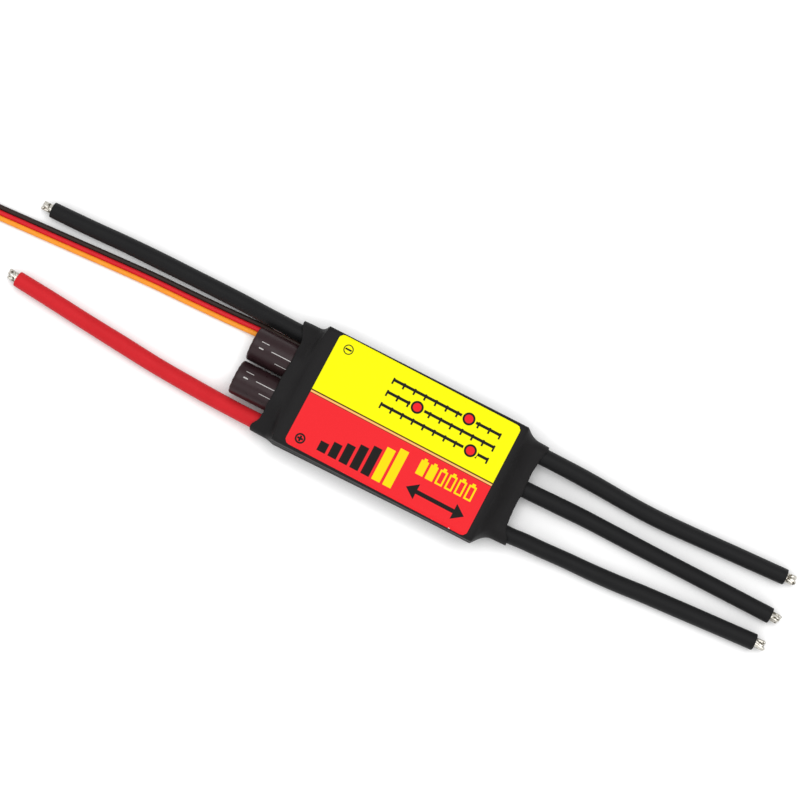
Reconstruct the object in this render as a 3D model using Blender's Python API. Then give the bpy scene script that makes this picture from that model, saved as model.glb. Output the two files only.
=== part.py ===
"""Speed controller for a brushless motor, in metres, +Z up.

A control board, a power board and a cooling plate are stacked and wrapped in heat-shrink film.
The battery leads, two capacitors and the three-wire signal lead leave the -X end, the three motor
leads leave the +X end. The origin is the middle of the flat underside, on the table.
"""

import math

import bmesh
import bpy
from mathutils import Vector

# Clearances
SEAT_GAP = 0.0003
SKIN_GAP = 0.0001

# Fineness of the faceted shapes
SMOOTH_ANGLE = math.radians(35)
CORNER_STEPS = 4
CAN_SEGMENTS = 28
LEG_HOLE_SIDES = 8
FACING = 0.9

# Boards, thermal pad and cooling plate, from the bottom up
CONTROL_LENGTH = 0.0440
CONTROL_INSET = 0.0014
CONTROL_THICKNESS = 0.0010
BOARD_SPACING = 0.0042
BOARD_LENGTH = 0.0624
BOARD_WIDTH = 0.0348
BOARD_THICKNESS = 0.0016
PAD_INSET = 0.0012
PAD_THICKNESS = 0.0005
PLATE_THICKNESS = 0.0022
PLATE_EDGE = 0.0004

# Parts on the boards
FET_LENGTH = 0.0061
FET_WIDTH = 0.0052
FET_HEIGHT = 0.0009
FET_FOOT = 0.0003
FET_STEP = 0.0003
FET_END_MARGIN = 0.0048
FET_ROW_SPACING = 0.0130
CHIP_LENGTH = 0.0049
CHIP_WIDTH = 0.0039
CHIP_HEIGHT = 0.0015
CHIP_LEGS = 4
CHIP_LEG_PITCH = 0.00127
CHIP_LEG_WIDTH = 0.0004
CHIP_LEG_REACH = 0.0010
CHIP_LEG_HEIGHT = 0.0004
CHIP_SPACING = 0.0095
DIODE_LENGTH = 0.0037
DIODE_WIDTH = 0.0043
DIODE_HEIGHT = 0.0021
DIODE_TAB_WIDTH = 0.0020
PROCESSOR_SIZE = 0.0070
PROCESSOR_HEIGHT = 0.0009
INDUCTOR_SIZE = 0.0100
INDUCTOR_HEIGHT = 0.0032
INDUCTOR_CORNER = 0.0022
PART_SPACING = 0.0012

# Pin headers that join the two boards
HEADER_PINS = 6
HEADER_PITCH = 0.00254
HEADER_BAR = 0.0024
HEADER_PIN = 0.00064
HEADER_INSET = 0.0026
HEADER_SHIFT = {"battery": -0.0051, "motor": 0.0}
PIN_CLEARANCE = 0.0001

# Heat-shrink film
FILM_WALL = 0.0005
FILM_NORMALS = 24
FILM_FLAT_CELLS = 8
SHOULDER_STEPS = 4
NECK_STEPS = 2
BATTERY_SHOULDER = 0.0018
BATTERY_NECK = 0.0038
BATTERY_LOBE = 0.0021
BATTERY_LOBE_WIDTH = 0.0060
MOTOR_SHOULDER = 0.0030
MOTOR_NECK = 0.0028
MOTOR_LOBE = 0.0013
MOTOR_LOBE_WIDTH = 0.0034
MOTOR_RIM_SLANT = 0.05

# Sticker on the top face
LABEL_END_MARGIN = 0.0031
LABEL_SIDE_MARGIN = 0.0007
LABEL_SHIFT = 0.0005
LABEL_CORNER = 0.0015
LABEL_THICKNESS = 0.00015

# Capacitors
CAP_DIAMETER = 0.0103
CAP_LENGTH = 0.0160
CAP_STANDOFF = 0.0028
CAP_SPACE = 0.0005
CAP_CENTRE_Y = -0.0009
JACKET_WALL = 0.0002
JACKET_LIP = 0.0012
CAN_WALL = 0.0004
CAN_EDGE = 0.0006
BUNG_THICKNESS = 0.0022
VENT_WIDTH = 0.0003
VENT_DEPTH = 0.00015
VENT_MARGIN = 0.0007
LEG_DIAMETER = 0.0006
LEG_PITCH = 0.0050
LEG_TAIL = 0.0040
# Bend of a leg, as shares of the standoff and of the drop to the board
LEG_BEND = ((0.25, 0.15), (0.70, 0.90))

# Battery and motor leads
LEAD_DIAMETER = 0.0045
INSULATION_WALL = 0.00085
CORE_DIAMETER = 0.0024
SOLDER_TAIL = 0.0050
TIP_LENGTH = 0.0033
CAP_TO_LEAD = 0.00135
MOTOR_LEAD_Y = {"a": 0.0133, "b": 0.0026, "c": -0.0111}
LEAD_POINT_SPACING = 0.0110

# Signal lead: three bonded wires, a plug, and a tied hank for the length that is put away
WIRE_DIAMETER = 0.0013
WIRE_PITCH = 0.0015
WIRE_POINT_SPACING = 0.0036
SIGNAL_PAD = 0.0030
TWIST_START_X = -0.1350
HANK_HALF_RUN = 0.0135
HANK_FOLD_RADIUS = 0.0040
HANK_STEP = 0.0019
HANK_RUNS = 4
HANK_FOLD_STEPS = 6
HANK_STATIONS = (1.0, 0.7, 0.4, 0.0)
HANK_LIFT_REACH = 0.0090
TAIL_TWIST = 0.0150
TAIL_TWIST_STEPS = 5
TAIL_FAN = 0.0060
TAIL_FAN_STEPS = 3
TIE_WIDTH = 0.0030
TIE_THICKNESS = 0.0006
PLUG_LENGTH = 0.0140
PLUG_HEIGHT = 0.0026
PLUG_PITCH = 0.00254
PLUG_CHAMFER = 0.0006
CAVITY_SIZE = 0.0018
CAVITY_ENTRY = 0.0030
WINDOW_LENGTH = 0.0024
WINDOW_WIDTH = 0.0012
WINDOW_FROM_FRONT = 0.0060
TERMINAL_WALL = 0.00025
TERMINAL_SETBACK = 0.0008

# Free routes of the leads beyond the straight stretch in the film: out from the block's end,
# sideways from the place where the lead is soldered. Each lead sinks to the table alike.
LEAD_SINK = ((0.0000, 1.0), (0.0090, 1.0), (0.0140, 0.82), (0.0200, 0.40), (0.0260, 0.08), (0.0320, 0.0))
LEAD_ROUTES = {
    "negative": (
        (0.0120, 0.0001),
        (0.0200, 0.0003),
        (0.0280, 0.0005),
        (0.0400, 0.0005),
        (0.0520, 0.0004),
        (0.0640, 0.0002),
        (0.0760, -0.0003),
        (0.0884, -0.0006),
    ),
    "positive": (
        (0.0120, 0.0000),
        (0.0200, 0.0002),
        (0.0280, 0.0005),
        (0.0400, 0.0011),
        (0.0520, 0.0021),
        (0.0640, 0.0031),
        (0.0760, 0.0042),
        (0.0879, 0.0052),
    ),
    "motor_a": (
        (0.0120, 0.0000),
        (0.0180, 0.0000),
        (0.0260, -0.0002),
        (0.0340, -0.0006),
        (0.0420, -0.0008),
        (0.0500, -0.0006),
        (0.0660, 0.0002),
        (0.0840, 0.0011),
    ),
    "motor_b": (
        (0.0120, 0.0001),
        (0.0180, 0.0003),
        (0.0260, 0.0005),
        (0.0420, 0.0003),
        (0.0580, 0.0002),
        (0.0740, 0.0001),
        (0.0850, 0.0000),
    ),
    "motor_c": (
        (0.0120, 0.0003),
        (0.0180, 0.0006),
        (0.0260, 0.0011),
        (0.0340, 0.0014),
        (0.0420, 0.0019),
        (0.0500, 0.0026),
        (0.0660, 0.0037),
        (0.0843, 0.0049),
    ),
}
# Middle of the signal lead over the table, from the capacitor's side to the hank
SIGNAL_ROUTE = (
    (-0.0500, 0.0091),
    (-0.0600, 0.0084),
    (-0.0720, 0.0079),
    (-0.0840, 0.0077),
    (-0.0960, 0.0071),
    (-0.1080, 0.0064),
    (-0.1200, 0.0057),
    (-0.1340, 0.0050),
    (-0.1460, 0.0045),
    (-0.1540, 0.0043),
    (-0.1590, 0.0043),
)

# Levels of the stack
control_bottom = FILM_WALL + SEAT_GAP
control_top = control_bottom + CONTROL_THICKNESS
power_bottom = control_top + BOARD_SPACING
power_top = power_bottom + BOARD_THICKNESS
fet_bottom = power_top + SEAT_GAP
pad_bottom = fet_bottom + FET_HEIGHT + SEAT_GAP
plate_bottom = pad_bottom + PAD_THICKNESS + SEAT_GAP
plate_top = plate_bottom + PLATE_THICKNESS
film_top = plate_top + SEAT_GAP + FILM_WALL

# Places that several pieces share
board_end = BOARD_LENGTH / 2
block_end = board_end + SEAT_GAP + FILM_WALL
block_side = BOARD_WIDTH / 2 + SEAT_GAP + FILM_WALL
control_end = CONTROL_LENGTH / 2
cap_radius = CAP_DIAMETER / 2
cap_z = control_bottom + cap_radius
cap_y = {
    "1": CAP_CENTRE_Y + (CAP_DIAMETER + CAP_SPACE) / 2,
    "2": CAP_CENTRE_Y - (CAP_DIAMETER + CAP_SPACE) / 2,
}
cap_inner_x = -(board_end + CAP_STANDOFF)
lead_radius = LEAD_DIAMETER / 2
lead_z = power_bottom - SEAT_GAP - CORE_DIAMETER / 2
lead_y = {
    "negative": cap_y["1"] + cap_radius + CAP_TO_LEAD + lead_radius,
    "positive": cap_y["2"] - cap_radius - CAP_TO_LEAD - lead_radius,
    **{f"motor_{phase}": y for phase, y in MOTOR_LEAD_Y.items()},
}
wire_radius = WIRE_DIAMETER / 2
wire_neck_z = control_bottom + wire_radius
wire_neck_y = (
    cap_y["1"]
    + math.sqrt((cap_radius + wire_radius + SEAT_GAP) ** 2 - (cap_z - wire_neck_z) ** 2)
    + WIRE_PITCH
)
conductors = {"ground": 1, "power": 0, "pulse": -1}


def clear_scene():
    for item in list(bpy.data.objects):
        bpy.data.objects.remove(item, do_unlink=True)


def finish(name, colour, roughness, metallic=0.0):
    """A plain surface finish."""
    surface = bpy.data.materials.new(name)
    surface.use_nodes = True
    shader = surface.node_tree.nodes["Principled BSDF"]
    shader.inputs["Base Color"].default_value = (*colour, 1.0)
    shader.inputs["Roughness"].default_value = roughness
    shader.inputs["Metallic"].default_value = metallic
    return surface


def group(name):
    """An empty that the pieces of one assembly hang on."""
    empty = bpy.data.objects.new(name, None)
    bpy.context.collection.objects.link(empty)
    return empty


def add_part(name, shape, surface, parent, location=(0.0, 0.0, 0.0)):
    """Turn a finished bmesh into a named piece of an assembly."""
    bmesh.ops.recalc_face_normals(shape, faces=shape.faces)
    mesh = bpy.data.meshes.new(name)
    shape.to_mesh(mesh)
    shape.free()
    mesh.shade_smooth()
    mesh.set_sharp_from_angle(angle=SMOOTH_ANGLE)
    mesh.materials.append(surface)
    part = bpy.data.objects.new(name, mesh)
    part.location = location
    part.parent = parent
    bpy.context.collection.objects.link(part)
    return part


def add_cutter(name, shape, parent, location=(0.0, 0.0, 0.0)):
    """A shape that only cuts another."""
    bmesh.ops.recalc_face_normals(shape, faces=shape.faces)
    mesh = bpy.data.meshes.new(name)
    shape.to_mesh(mesh)
    shape.free()
    cutter = bpy.data.objects.new(name, mesh)
    cutter.location = location
    cutter.parent = parent
    cutter.hide_render = True
    cutter.display_type = "WIRE"
    bpy.context.collection.objects.link(cutter)
    return cutter


def cut(part, cutter):
    """Take the cutter's shape out of the part."""
    boolean = part.modifiers.new(cutter.name, "BOOLEAN")
    boolean.operation = "DIFFERENCE"
    boolean.solver = "EXACT"
    boolean.object = cutter


def round_edges(part, width, segments):
    """Round every sharp edge of a part."""
    bevel = part.modifiers.new("edges", "BEVEL")
    bevel.width = width
    bevel.segments = segments
    bevel.limit_method = "ANGLE"


def gridded_box(xs, ys, zs):
    """A box whose faces are divided at the given places, so that single cells can be drawn out."""
    shape = bmesh.new()
    corners = {}

    def quad(*places):
        for place in places:
            if place not in corners:
                corners[place] = shape.verts.new(place)
        shape.faces.new([corners[place] for place in places])

    def cells(values):
        return zip(values[:-1], values[1:], strict=True)

    for z in (zs[0], zs[-1]):
        for x0, x1 in cells(xs):
            for y0, y1 in cells(ys):
                quad((x0, y0, z), (x1, y0, z), (x1, y1, z), (x0, y1, z))
    for y in (ys[0], ys[-1]):
        for x0, x1 in cells(xs):
            for z0, z1 in cells(zs):
                quad((x0, y, z0), (x1, y, z0), (x1, y, z1), (x0, y, z1))
    for x in (xs[0], xs[-1]):
        for y0, y1 in cells(ys):
            for z0, z1 in cells(zs):
                quad((x, y0, z0), (x, y1, z0), (x, y1, z1), (x, y0, z1))
    bmesh.ops.recalc_face_normals(shape, faces=shape.faces)
    return shape


def draw_out(shape, chosen, distance):
    """Draw the chosen faces out along their normals."""
    faces = [face for face in shape.faces if chosen(face.calc_center_median(), face.normal)]
    drawn = bmesh.ops.extrude_discrete_faces(shape, faces=faces)["faces"]
    for face in drawn:
        face.normal_update()
        bmesh.ops.translate(shape, verts=face.verts, vec=face.normal * distance)


def box(length, width, height):
    """A plain box standing on z = 0."""
    return gridded_box((-length / 2, length / 2), (-width / 2, width / 2), (0.0, height))


def rounded_outline(length, width, radius):
    """Corner arcs of a rectangle, anticlockwise."""
    outline = []
    for quarter, (side_x, side_y) in enumerate(((1, 1), (-1, 1), (-1, -1), (1, -1))):
        for step in range(CORNER_STEPS + 1):
            angle = (quarter + step / CORNER_STEPS) * math.pi / 2
            outline.append(
                (
                    side_x * (length / 2 - radius) + radius * math.cos(angle),
                    side_y * (width / 2 - radius) + radius * math.sin(angle),
                )
            )
    return outline


def prism(outline, height):
    """A flat outline raised from z = 0."""
    shape = bmesh.new()
    face = shape.faces.new([shape.verts.new((x, y, 0.0)) for x, y in outline])
    raised = bmesh.ops.extrude_face_region(shape, geom=[face])["geom"]
    top = [item for item in raised if isinstance(item, bmesh.types.BMVert)]
    bmesh.ops.translate(shape, verts=top, vec=(0.0, 0.0, height))
    return shape


def turned(profile, segments):
    """A profile of (along, radius) points turned about the X axis."""
    shape = bmesh.new()
    verts = [shape.verts.new((along, 0.0, radius)) for along, radius in profile]
    edges = [shape.edges.new(pair) for pair in zip(verts[:-1], verts[1:], strict=True)]
    bmesh.ops.spin(
        shape,
        geom=[*verts, *edges],
        axis=(1.0, 0.0, 0.0),
        cent=(0.0, 0.0, 0.0),
        steps=segments,
        angle=math.tau,
        use_merge=True,
    )
    bmesh.ops.remove_doubles(shape, verts=shape.verts, dist=1e-6)
    return shape


def sleeve(outer_rings, inner_rings):
    """A closed wall between two lofts of rings, open at both ends."""
    shape = bmesh.new()
    outer = [[shape.verts.new(point) for point in ring] for ring in outer_rings]
    inner = [[shape.verts.new(point) for point in ring] for ring in inner_rings]
    around = outer + inner[::-1]
    for ring, after in zip(around, around[1:] + around[:1], strict=True):
        for index in range(len(ring)):
            following = (index + 1) % len(ring)
            shape.faces.new([ring[index], ring[following], after[following], after[index]])
    return shape


def tube(name, points, radius, surface, parent, resolution=2, wall=None):
    """A round tube along points, solid or with a wall of the given thickness."""
    curve = bpy.data.curves.new(name, "CURVE")
    curve.dimensions = "3D"
    curve.bevel_depth = radius
    curve.bevel_resolution = resolution
    curve.use_fill_caps = wall is None
    spline = curve.splines.new("POLY")
    spline.points.add(len(points) - 1)
    for place, point in zip(spline.points, points, strict=True):
        place.co = (*point, 1.0)
    spline.use_smooth = True
    curve.materials.append(surface)
    part = bpy.data.objects.new(name, curve)
    part.parent = parent
    bpy.context.collection.objects.link(part)
    if wall is not None:
        solidify = part.modifiers.new("wall", "SOLIDIFY")
        solidify.thickness = wall
        solidify.offset = -1.0
        solidify.use_even_offset = True
    return part


def smooth_line(points, spacing):
    """Evenly spaced points on a smooth curve through the given ones."""
    points = [Vector(point) for point in points]
    marks = [0.0]
    for before, after in zip(points[:-1], points[1:], strict=True):
        marks.append(marks[-1] + (after - before).length)
    last = len(points) - 1
    slopes = []
    for index in range(last + 1):
        low, high = max(index - 1, 0), min(index + 1, last)
        slopes.append((points[high] - points[low]) / (marks[high] - marks[low]))
    count = max(2, round(marks[-1] / spacing))
    line = []
    for step in range(count + 1):
        mark = marks[-1] * step / count
        span = max(index for index in range(last) if marks[index] <= mark + 1e-12)
        width = marks[span + 1] - marks[span]
        t = (mark - marks[span]) / width
        line.append(
            points[span] * (2 * t**3 - 3 * t**2 + 1)
            + slopes[span] * (width * (t**3 - 2 * t**2 + t))
            + points[span + 1] * (3 * t**2 - 2 * t**3)
            + slopes[span + 1] * (width * (t**3 - t**2))
        )
    return line


def smoothstep(t):
    """0 to 1 with level ends."""
    t = min(max(t, 0.0), 1.0)
    return t * t * (3 - 2 * t)


def gull_chip(name, length, width, height, leg_places, leg_width, surface, parent, location):
    """A moulded package with flat legs along its two long sides."""
    edges = sorted(place + side * leg_width / 2 for place in leg_places for side in (-1, 1))
    shape = gridded_box(
        (-length / 2, *edges, length / 2), (-width / 2, width / 2), (0.0, CHIP_LEG_HEIGHT, height)
    )

    def is_leg(centre, normal):
        beside = any(abs(centre.x - place) < leg_width / 4 for place in leg_places)
        return beside and abs(normal.y) > FACING and centre.z < CHIP_LEG_HEIGHT

    draw_out(shape, is_leg, CHIP_LEG_REACH)
    return add_part(name, shape, surface, parent, location)


def flat_chip(name, length, width, height, surface, parent, location):
    """A leadless package: a metal foot with a slightly smaller moulded body on it."""
    shape = box(length, width, FET_FOOT)
    top = [face for face in shape.faces if face.normal.z > FACING]
    bmesh.ops.inset_region(shape, faces=top, thickness=FET_STEP, use_even_offset=True)

    def is_body(centre, normal):
        return normal.z > FACING and centre.length < length / 4

    draw_out(shape, is_body, height - FET_FOOT)
    bmesh.ops.delete(shape, geom=[e for e in shape.edges if not e.link_faces], context="EDGES")
    return add_part(name, shape, surface, parent, location)


def board_stack(looks):
    """Control board, power board, pad and cooling plate with the parts on the boards."""
    stack = group("board_stack")
    control_width = BOARD_WIDTH - 2 * CONTROL_INSET
    control_board = add_part(
        "control_board",
        box(CONTROL_LENGTH, control_width, CONTROL_THICKNESS),
        looks["board"],
        stack,
        (0.0, 0.0, control_bottom),
    )
    power_board = add_part(
        "power_board",
        box(BOARD_LENGTH, BOARD_WIDTH, BOARD_THICKNESS),
        looks["board"],
        stack,
        (0.0, 0.0, power_bottom),
    )
    pad_size = (BOARD_LENGTH - 2 * PAD_INSET, BOARD_WIDTH - 2 * PAD_INSET, PAD_THICKNESS)
    add_part("thermal_pad", box(*pad_size), looks["pad"], stack, (0.0, 0.0, pad_bottom))
    plate = add_part(
        "cooling_plate",
        box(BOARD_LENGTH, BOARD_WIDTH, PLATE_THICKNESS),
        looks["aluminium"],
        stack,
        (0.0, 0.0, plate_bottom),
    )
    round_edges(plate, PLATE_EDGE, 2)

    # Two transistors side by side for each switch, a row of high ones and a row of low ones
    first = FET_LENGTH / 2 + FET_END_MARGIN - board_end
    columns = [(phase, copy) for phase in "abc" for copy in "12"]
    for column, (phase, copy) in enumerate(columns):
        x = first - 2 * first * column / (len(columns) - 1)
        for row, side in (("high", 1), ("low", -1)):
            place = (x, side * FET_ROW_SPACING / 2, fet_bottom)
            name = f"mosfet_{phase}_{row}_{copy}"
            flat_chip(name, FET_LENGTH, FET_WIDTH, FET_HEIGHT, looks["moulding"], stack, place)

    # Pin headers between the boards, and the plated holes that their pins stand in
    header_x = control_end - HEADER_INSET
    pin_places = [(index - (HEADER_PINS - 1) / 2) * HEADER_PITCH for index in range(HEADER_PINS)]
    edges = sorted(place + step * HEADER_PIN / 2 for place in pin_places for step in (-1, 1))
    half = HEADER_PINS * HEADER_PITCH / 2
    bar_height = BOARD_SPACING - 2 * SEAT_GAP
    pin_reach = SEAT_GAP + min(CONTROL_THICKNESS, BOARD_THICKNESS) - SKIN_GAP
    hole = HEADER_PIN / 2 + PIN_CLEARANCE

    def is_pin(centre, normal):
        beside = any(abs(centre.y - place) < HEADER_PIN / 4 for place in pin_places)
        return beside and abs(normal.z) > FACING and abs(centre.x) < HEADER_PIN / 4

    for end, side in (("battery", -1), ("motor", 1)):
        shape = gridded_box(
            (-HEADER_BAR / 2, -HEADER_PIN / 2, HEADER_PIN / 2, HEADER_BAR / 2),
            (-half, *edges, half),
            (0.0, bar_height),
        )
        draw_out(shape, is_pin, pin_reach)
        place = (side * header_x, HEADER_SHIFT[end], control_top + SEAT_GAP)
        add_part(f"link_header_{end}", shape, looks["header"], stack, place)
        for board, bottom, thickness in (
            (control_board, control_bottom, CONTROL_THICKNESS),
            (power_board, power_bottom, BOARD_THICKNESS),
        ):
            holes = bmesh.new()
            for y in pin_places:
                ring = [(hole * dx, y + hole * dy) for dx, dy in ((-1, -1), (1, -1), (1, 1), (-1, 1))]
                face = holes.faces.new([holes.verts.new((x, y_, -SEAT_GAP)) for x, y_ in ring])
                raised = bmesh.ops.extrude_face_region(holes, geom=[face])["geom"]
                top = [item for item in raised if isinstance(item, bmesh.types.BMVert)]
                bmesh.ops.translate(holes, verts=top, vec=(0.0, 0.0, thickness + 2 * SEAT_GAP))
            name = f"{board.name}_{end}_holes"
            cut(board, add_cutter(name, holes, stack, (place[0], place[1], bottom)))

    # Parts on the control board, set one after the other from its two ends
    on_board = control_top + SEAT_GAP
    chip_x = header_x - HEADER_BAR / 2 - PART_SPACING - CHIP_LENGTH / 2
    leg_places = [(index - (CHIP_LEGS - 1) / 2) * CHIP_LEG_PITCH for index in range(CHIP_LEGS)]
    for index, phase in enumerate("abc"):
        place = (chip_x, (1 - index) * CHIP_SPACING, on_board)
        name = f"gate_driver_{phase}"
        size = (CHIP_LENGTH, CHIP_WIDTH, CHIP_HEIGHT)
        gull_chip(name, *size, leg_places, CHIP_LEG_WIDTH, looks["moulding"], stack, place)
    processor_x = chip_x - CHIP_LENGTH / 2 - PART_SPACING - PROCESSOR_SIZE / 2
    flat_chip(
        "microcontroller",
        PROCESSOR_SIZE,
        PROCESSOR_SIZE,
        PROCESSOR_HEIGHT,
        looks["moulding"],
        stack,
        (processor_x, CHIP_SPACING / 2, on_board),
    )
    inductor_x = -header_x + HEADER_BAR / 2 + PART_SPACING + INDUCTOR_SIZE / 2
    outline = rounded_outline(INDUCTOR_SIZE, INDUCTOR_SIZE, INDUCTOR_CORNER)
    add_part(
        "inductor",
        prism(outline, INDUCTOR_HEIGHT),
        looks["iron"],
        stack,
        (inductor_x, HEADER_SHIFT["battery"], on_board),
    )
    regulator_x = inductor_x + INDUCTOR_SIZE / 2 + PART_SPACING + CHIP_LENGTH / 2
    gull_chip(
        "regulator",
        CHIP_LENGTH,
        CHIP_WIDTH,
        CHIP_HEIGHT,
        leg_places,
        CHIP_LEG_WIDTH,
        looks["moulding"],
        stack,
        (regulator_x, HEADER_SHIFT["battery"] + CHIP_WIDTH / 2, on_board),
    )
    diode_y = HEADER_SHIFT["battery"] - CHIP_LEG_REACH * 2 - PART_SPACING - DIODE_WIDTH / 2
    gull_chip(
        "diode",
        DIODE_LENGTH,
        DIODE_WIDTH,
        DIODE_HEIGHT,
        [0.0],
        DIODE_TAB_WIDTH,
        looks["moulding"],
        stack,
        (regulator_x, diode_y, on_board),
    )


def hull_ring(contents, grow):
    """Film drawn tight round circles of (y, z, radius), standing off them by grow.

    A point for each of the outward normals, and more along the flat stretches on top and below.
    """
    corners = []
    for index in range(FILM_NORMALS):
        angle = (index + 0.5) * math.tau / FILM_NORMALS
        away = Vector((math.cos(angle), math.sin(angle)))
        y, z, radius = max(contents, key=lambda circle: circle[0] * away.x + circle[1] * away.y + circle[2])
        corners.append(Vector((y, z)) + away * (radius + grow))
    ring = []
    quarter = FILM_NORMALS // 4
    for index, point in enumerate(corners):
        ring.append(point)
        if index in (quarter - 1, 3 * quarter - 1):
            after = corners[(index + 1) % FILM_NORMALS]
            ring += [point.lerp(after, cell / FILM_FLAT_CELLS) for cell in range(1, FILM_FLAT_CELLS)]
    return ring


def film_contents():
    """What the film is shrunk on: the stack, and what leaves at the two ends."""
    side = BOARD_WIDTH / 2 - PLATE_EDGE
    levels = (plate_top - PLATE_EDGE, control_bottom + PLATE_EDGE)
    stack = [(y, z, PLATE_EDGE) for y in (side, -side) for z in levels]
    battery = [(y, cap_z, cap_radius) for y in cap_y.values()]
    battery += [(lead_y[name], lead_z, lead_radius) for name in ("negative", "positive")]
    battery += [(wire_neck_y + WIRE_PITCH, wire_neck_z, wire_radius)]
    motor = [(lead_y[f"motor_{phase}"], lead_z, lead_radius) for phase in MOTOR_LEAD_Y]
    return stack, battery, motor


def rim_reach(y, places, lobe, width):
    """The film's edge runs further out along each lead than between them."""
    return lobe * max(math.exp(-(((y - place) / width) ** 2)) for place in places)


def film_rings(grow):
    """Rings of the film from the battery end to the motor end."""
    stack, battery, motor = film_contents()
    ends = (
        (
            battery,
            -1,
            BATTERY_SHOULDER,
            lambda y: BATTERY_NECK
            + rim_reach(y, (lead_y["negative"], lead_y["positive"]), BATTERY_LOBE, BATTERY_LOBE_WIDTH),
        ),
        (
            motor,
            1,
            MOTOR_SHOULDER,
            lambda y: MOTOR_NECK
            + rim_reach(y, [circle[0] for circle in motor], MOTOR_LOBE, MOTOR_LOBE_WIDTH)
            - MOTOR_RIM_SLANT * y,
        ),
    )
    rings = []
    for contents, side, shoulder, neck in ends:
        block = hull_ring(stack + contents, grow)
        drawn = hull_ring(contents, grow)
        half = [[(side * block_end, *point) for point in block]]
        for step in range(1, SHOULDER_STEPS + 1):
            share = step / SHOULDER_STEPS
            blend = smoothstep(share)
            x = side * (block_end + shoulder * share)
            half.append([(x, *a.lerp(b, blend)) for a, b in zip(block, drawn, strict=True)])
        for step in range(1, NECK_STEPS + 1):
            share = step / NECK_STEPS
            half.append([(side * (block_end + shoulder + neck(p.x) * share), *p) for p in drawn])
        rings += half[::-1] if side < 0 else half
    return rings


def film_and_label(looks):
    """The shrunk film round the stack, and the sticker on its top face."""
    wrap = group("wrap")
    outer = film_rings(SEAT_GAP + FILM_WALL)
    inner = film_rings(SEAT_GAP)
    add_part("heat_shrink_film", sleeve(outer, inner), looks["film"], wrap)
    length = 2 * (block_end - LABEL_END_MARGIN)
    width = 2 * (block_side - LABEL_SIDE_MARGIN)
    outline = rounded_outline(length, width, LABEL_CORNER)
    place = (LABEL_SHIFT, 0.0, film_top + SKIN_GAP)
    add_part("label", prism(outline, LABEL_THICKNESS), looks["label"], wrap, place)


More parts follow.
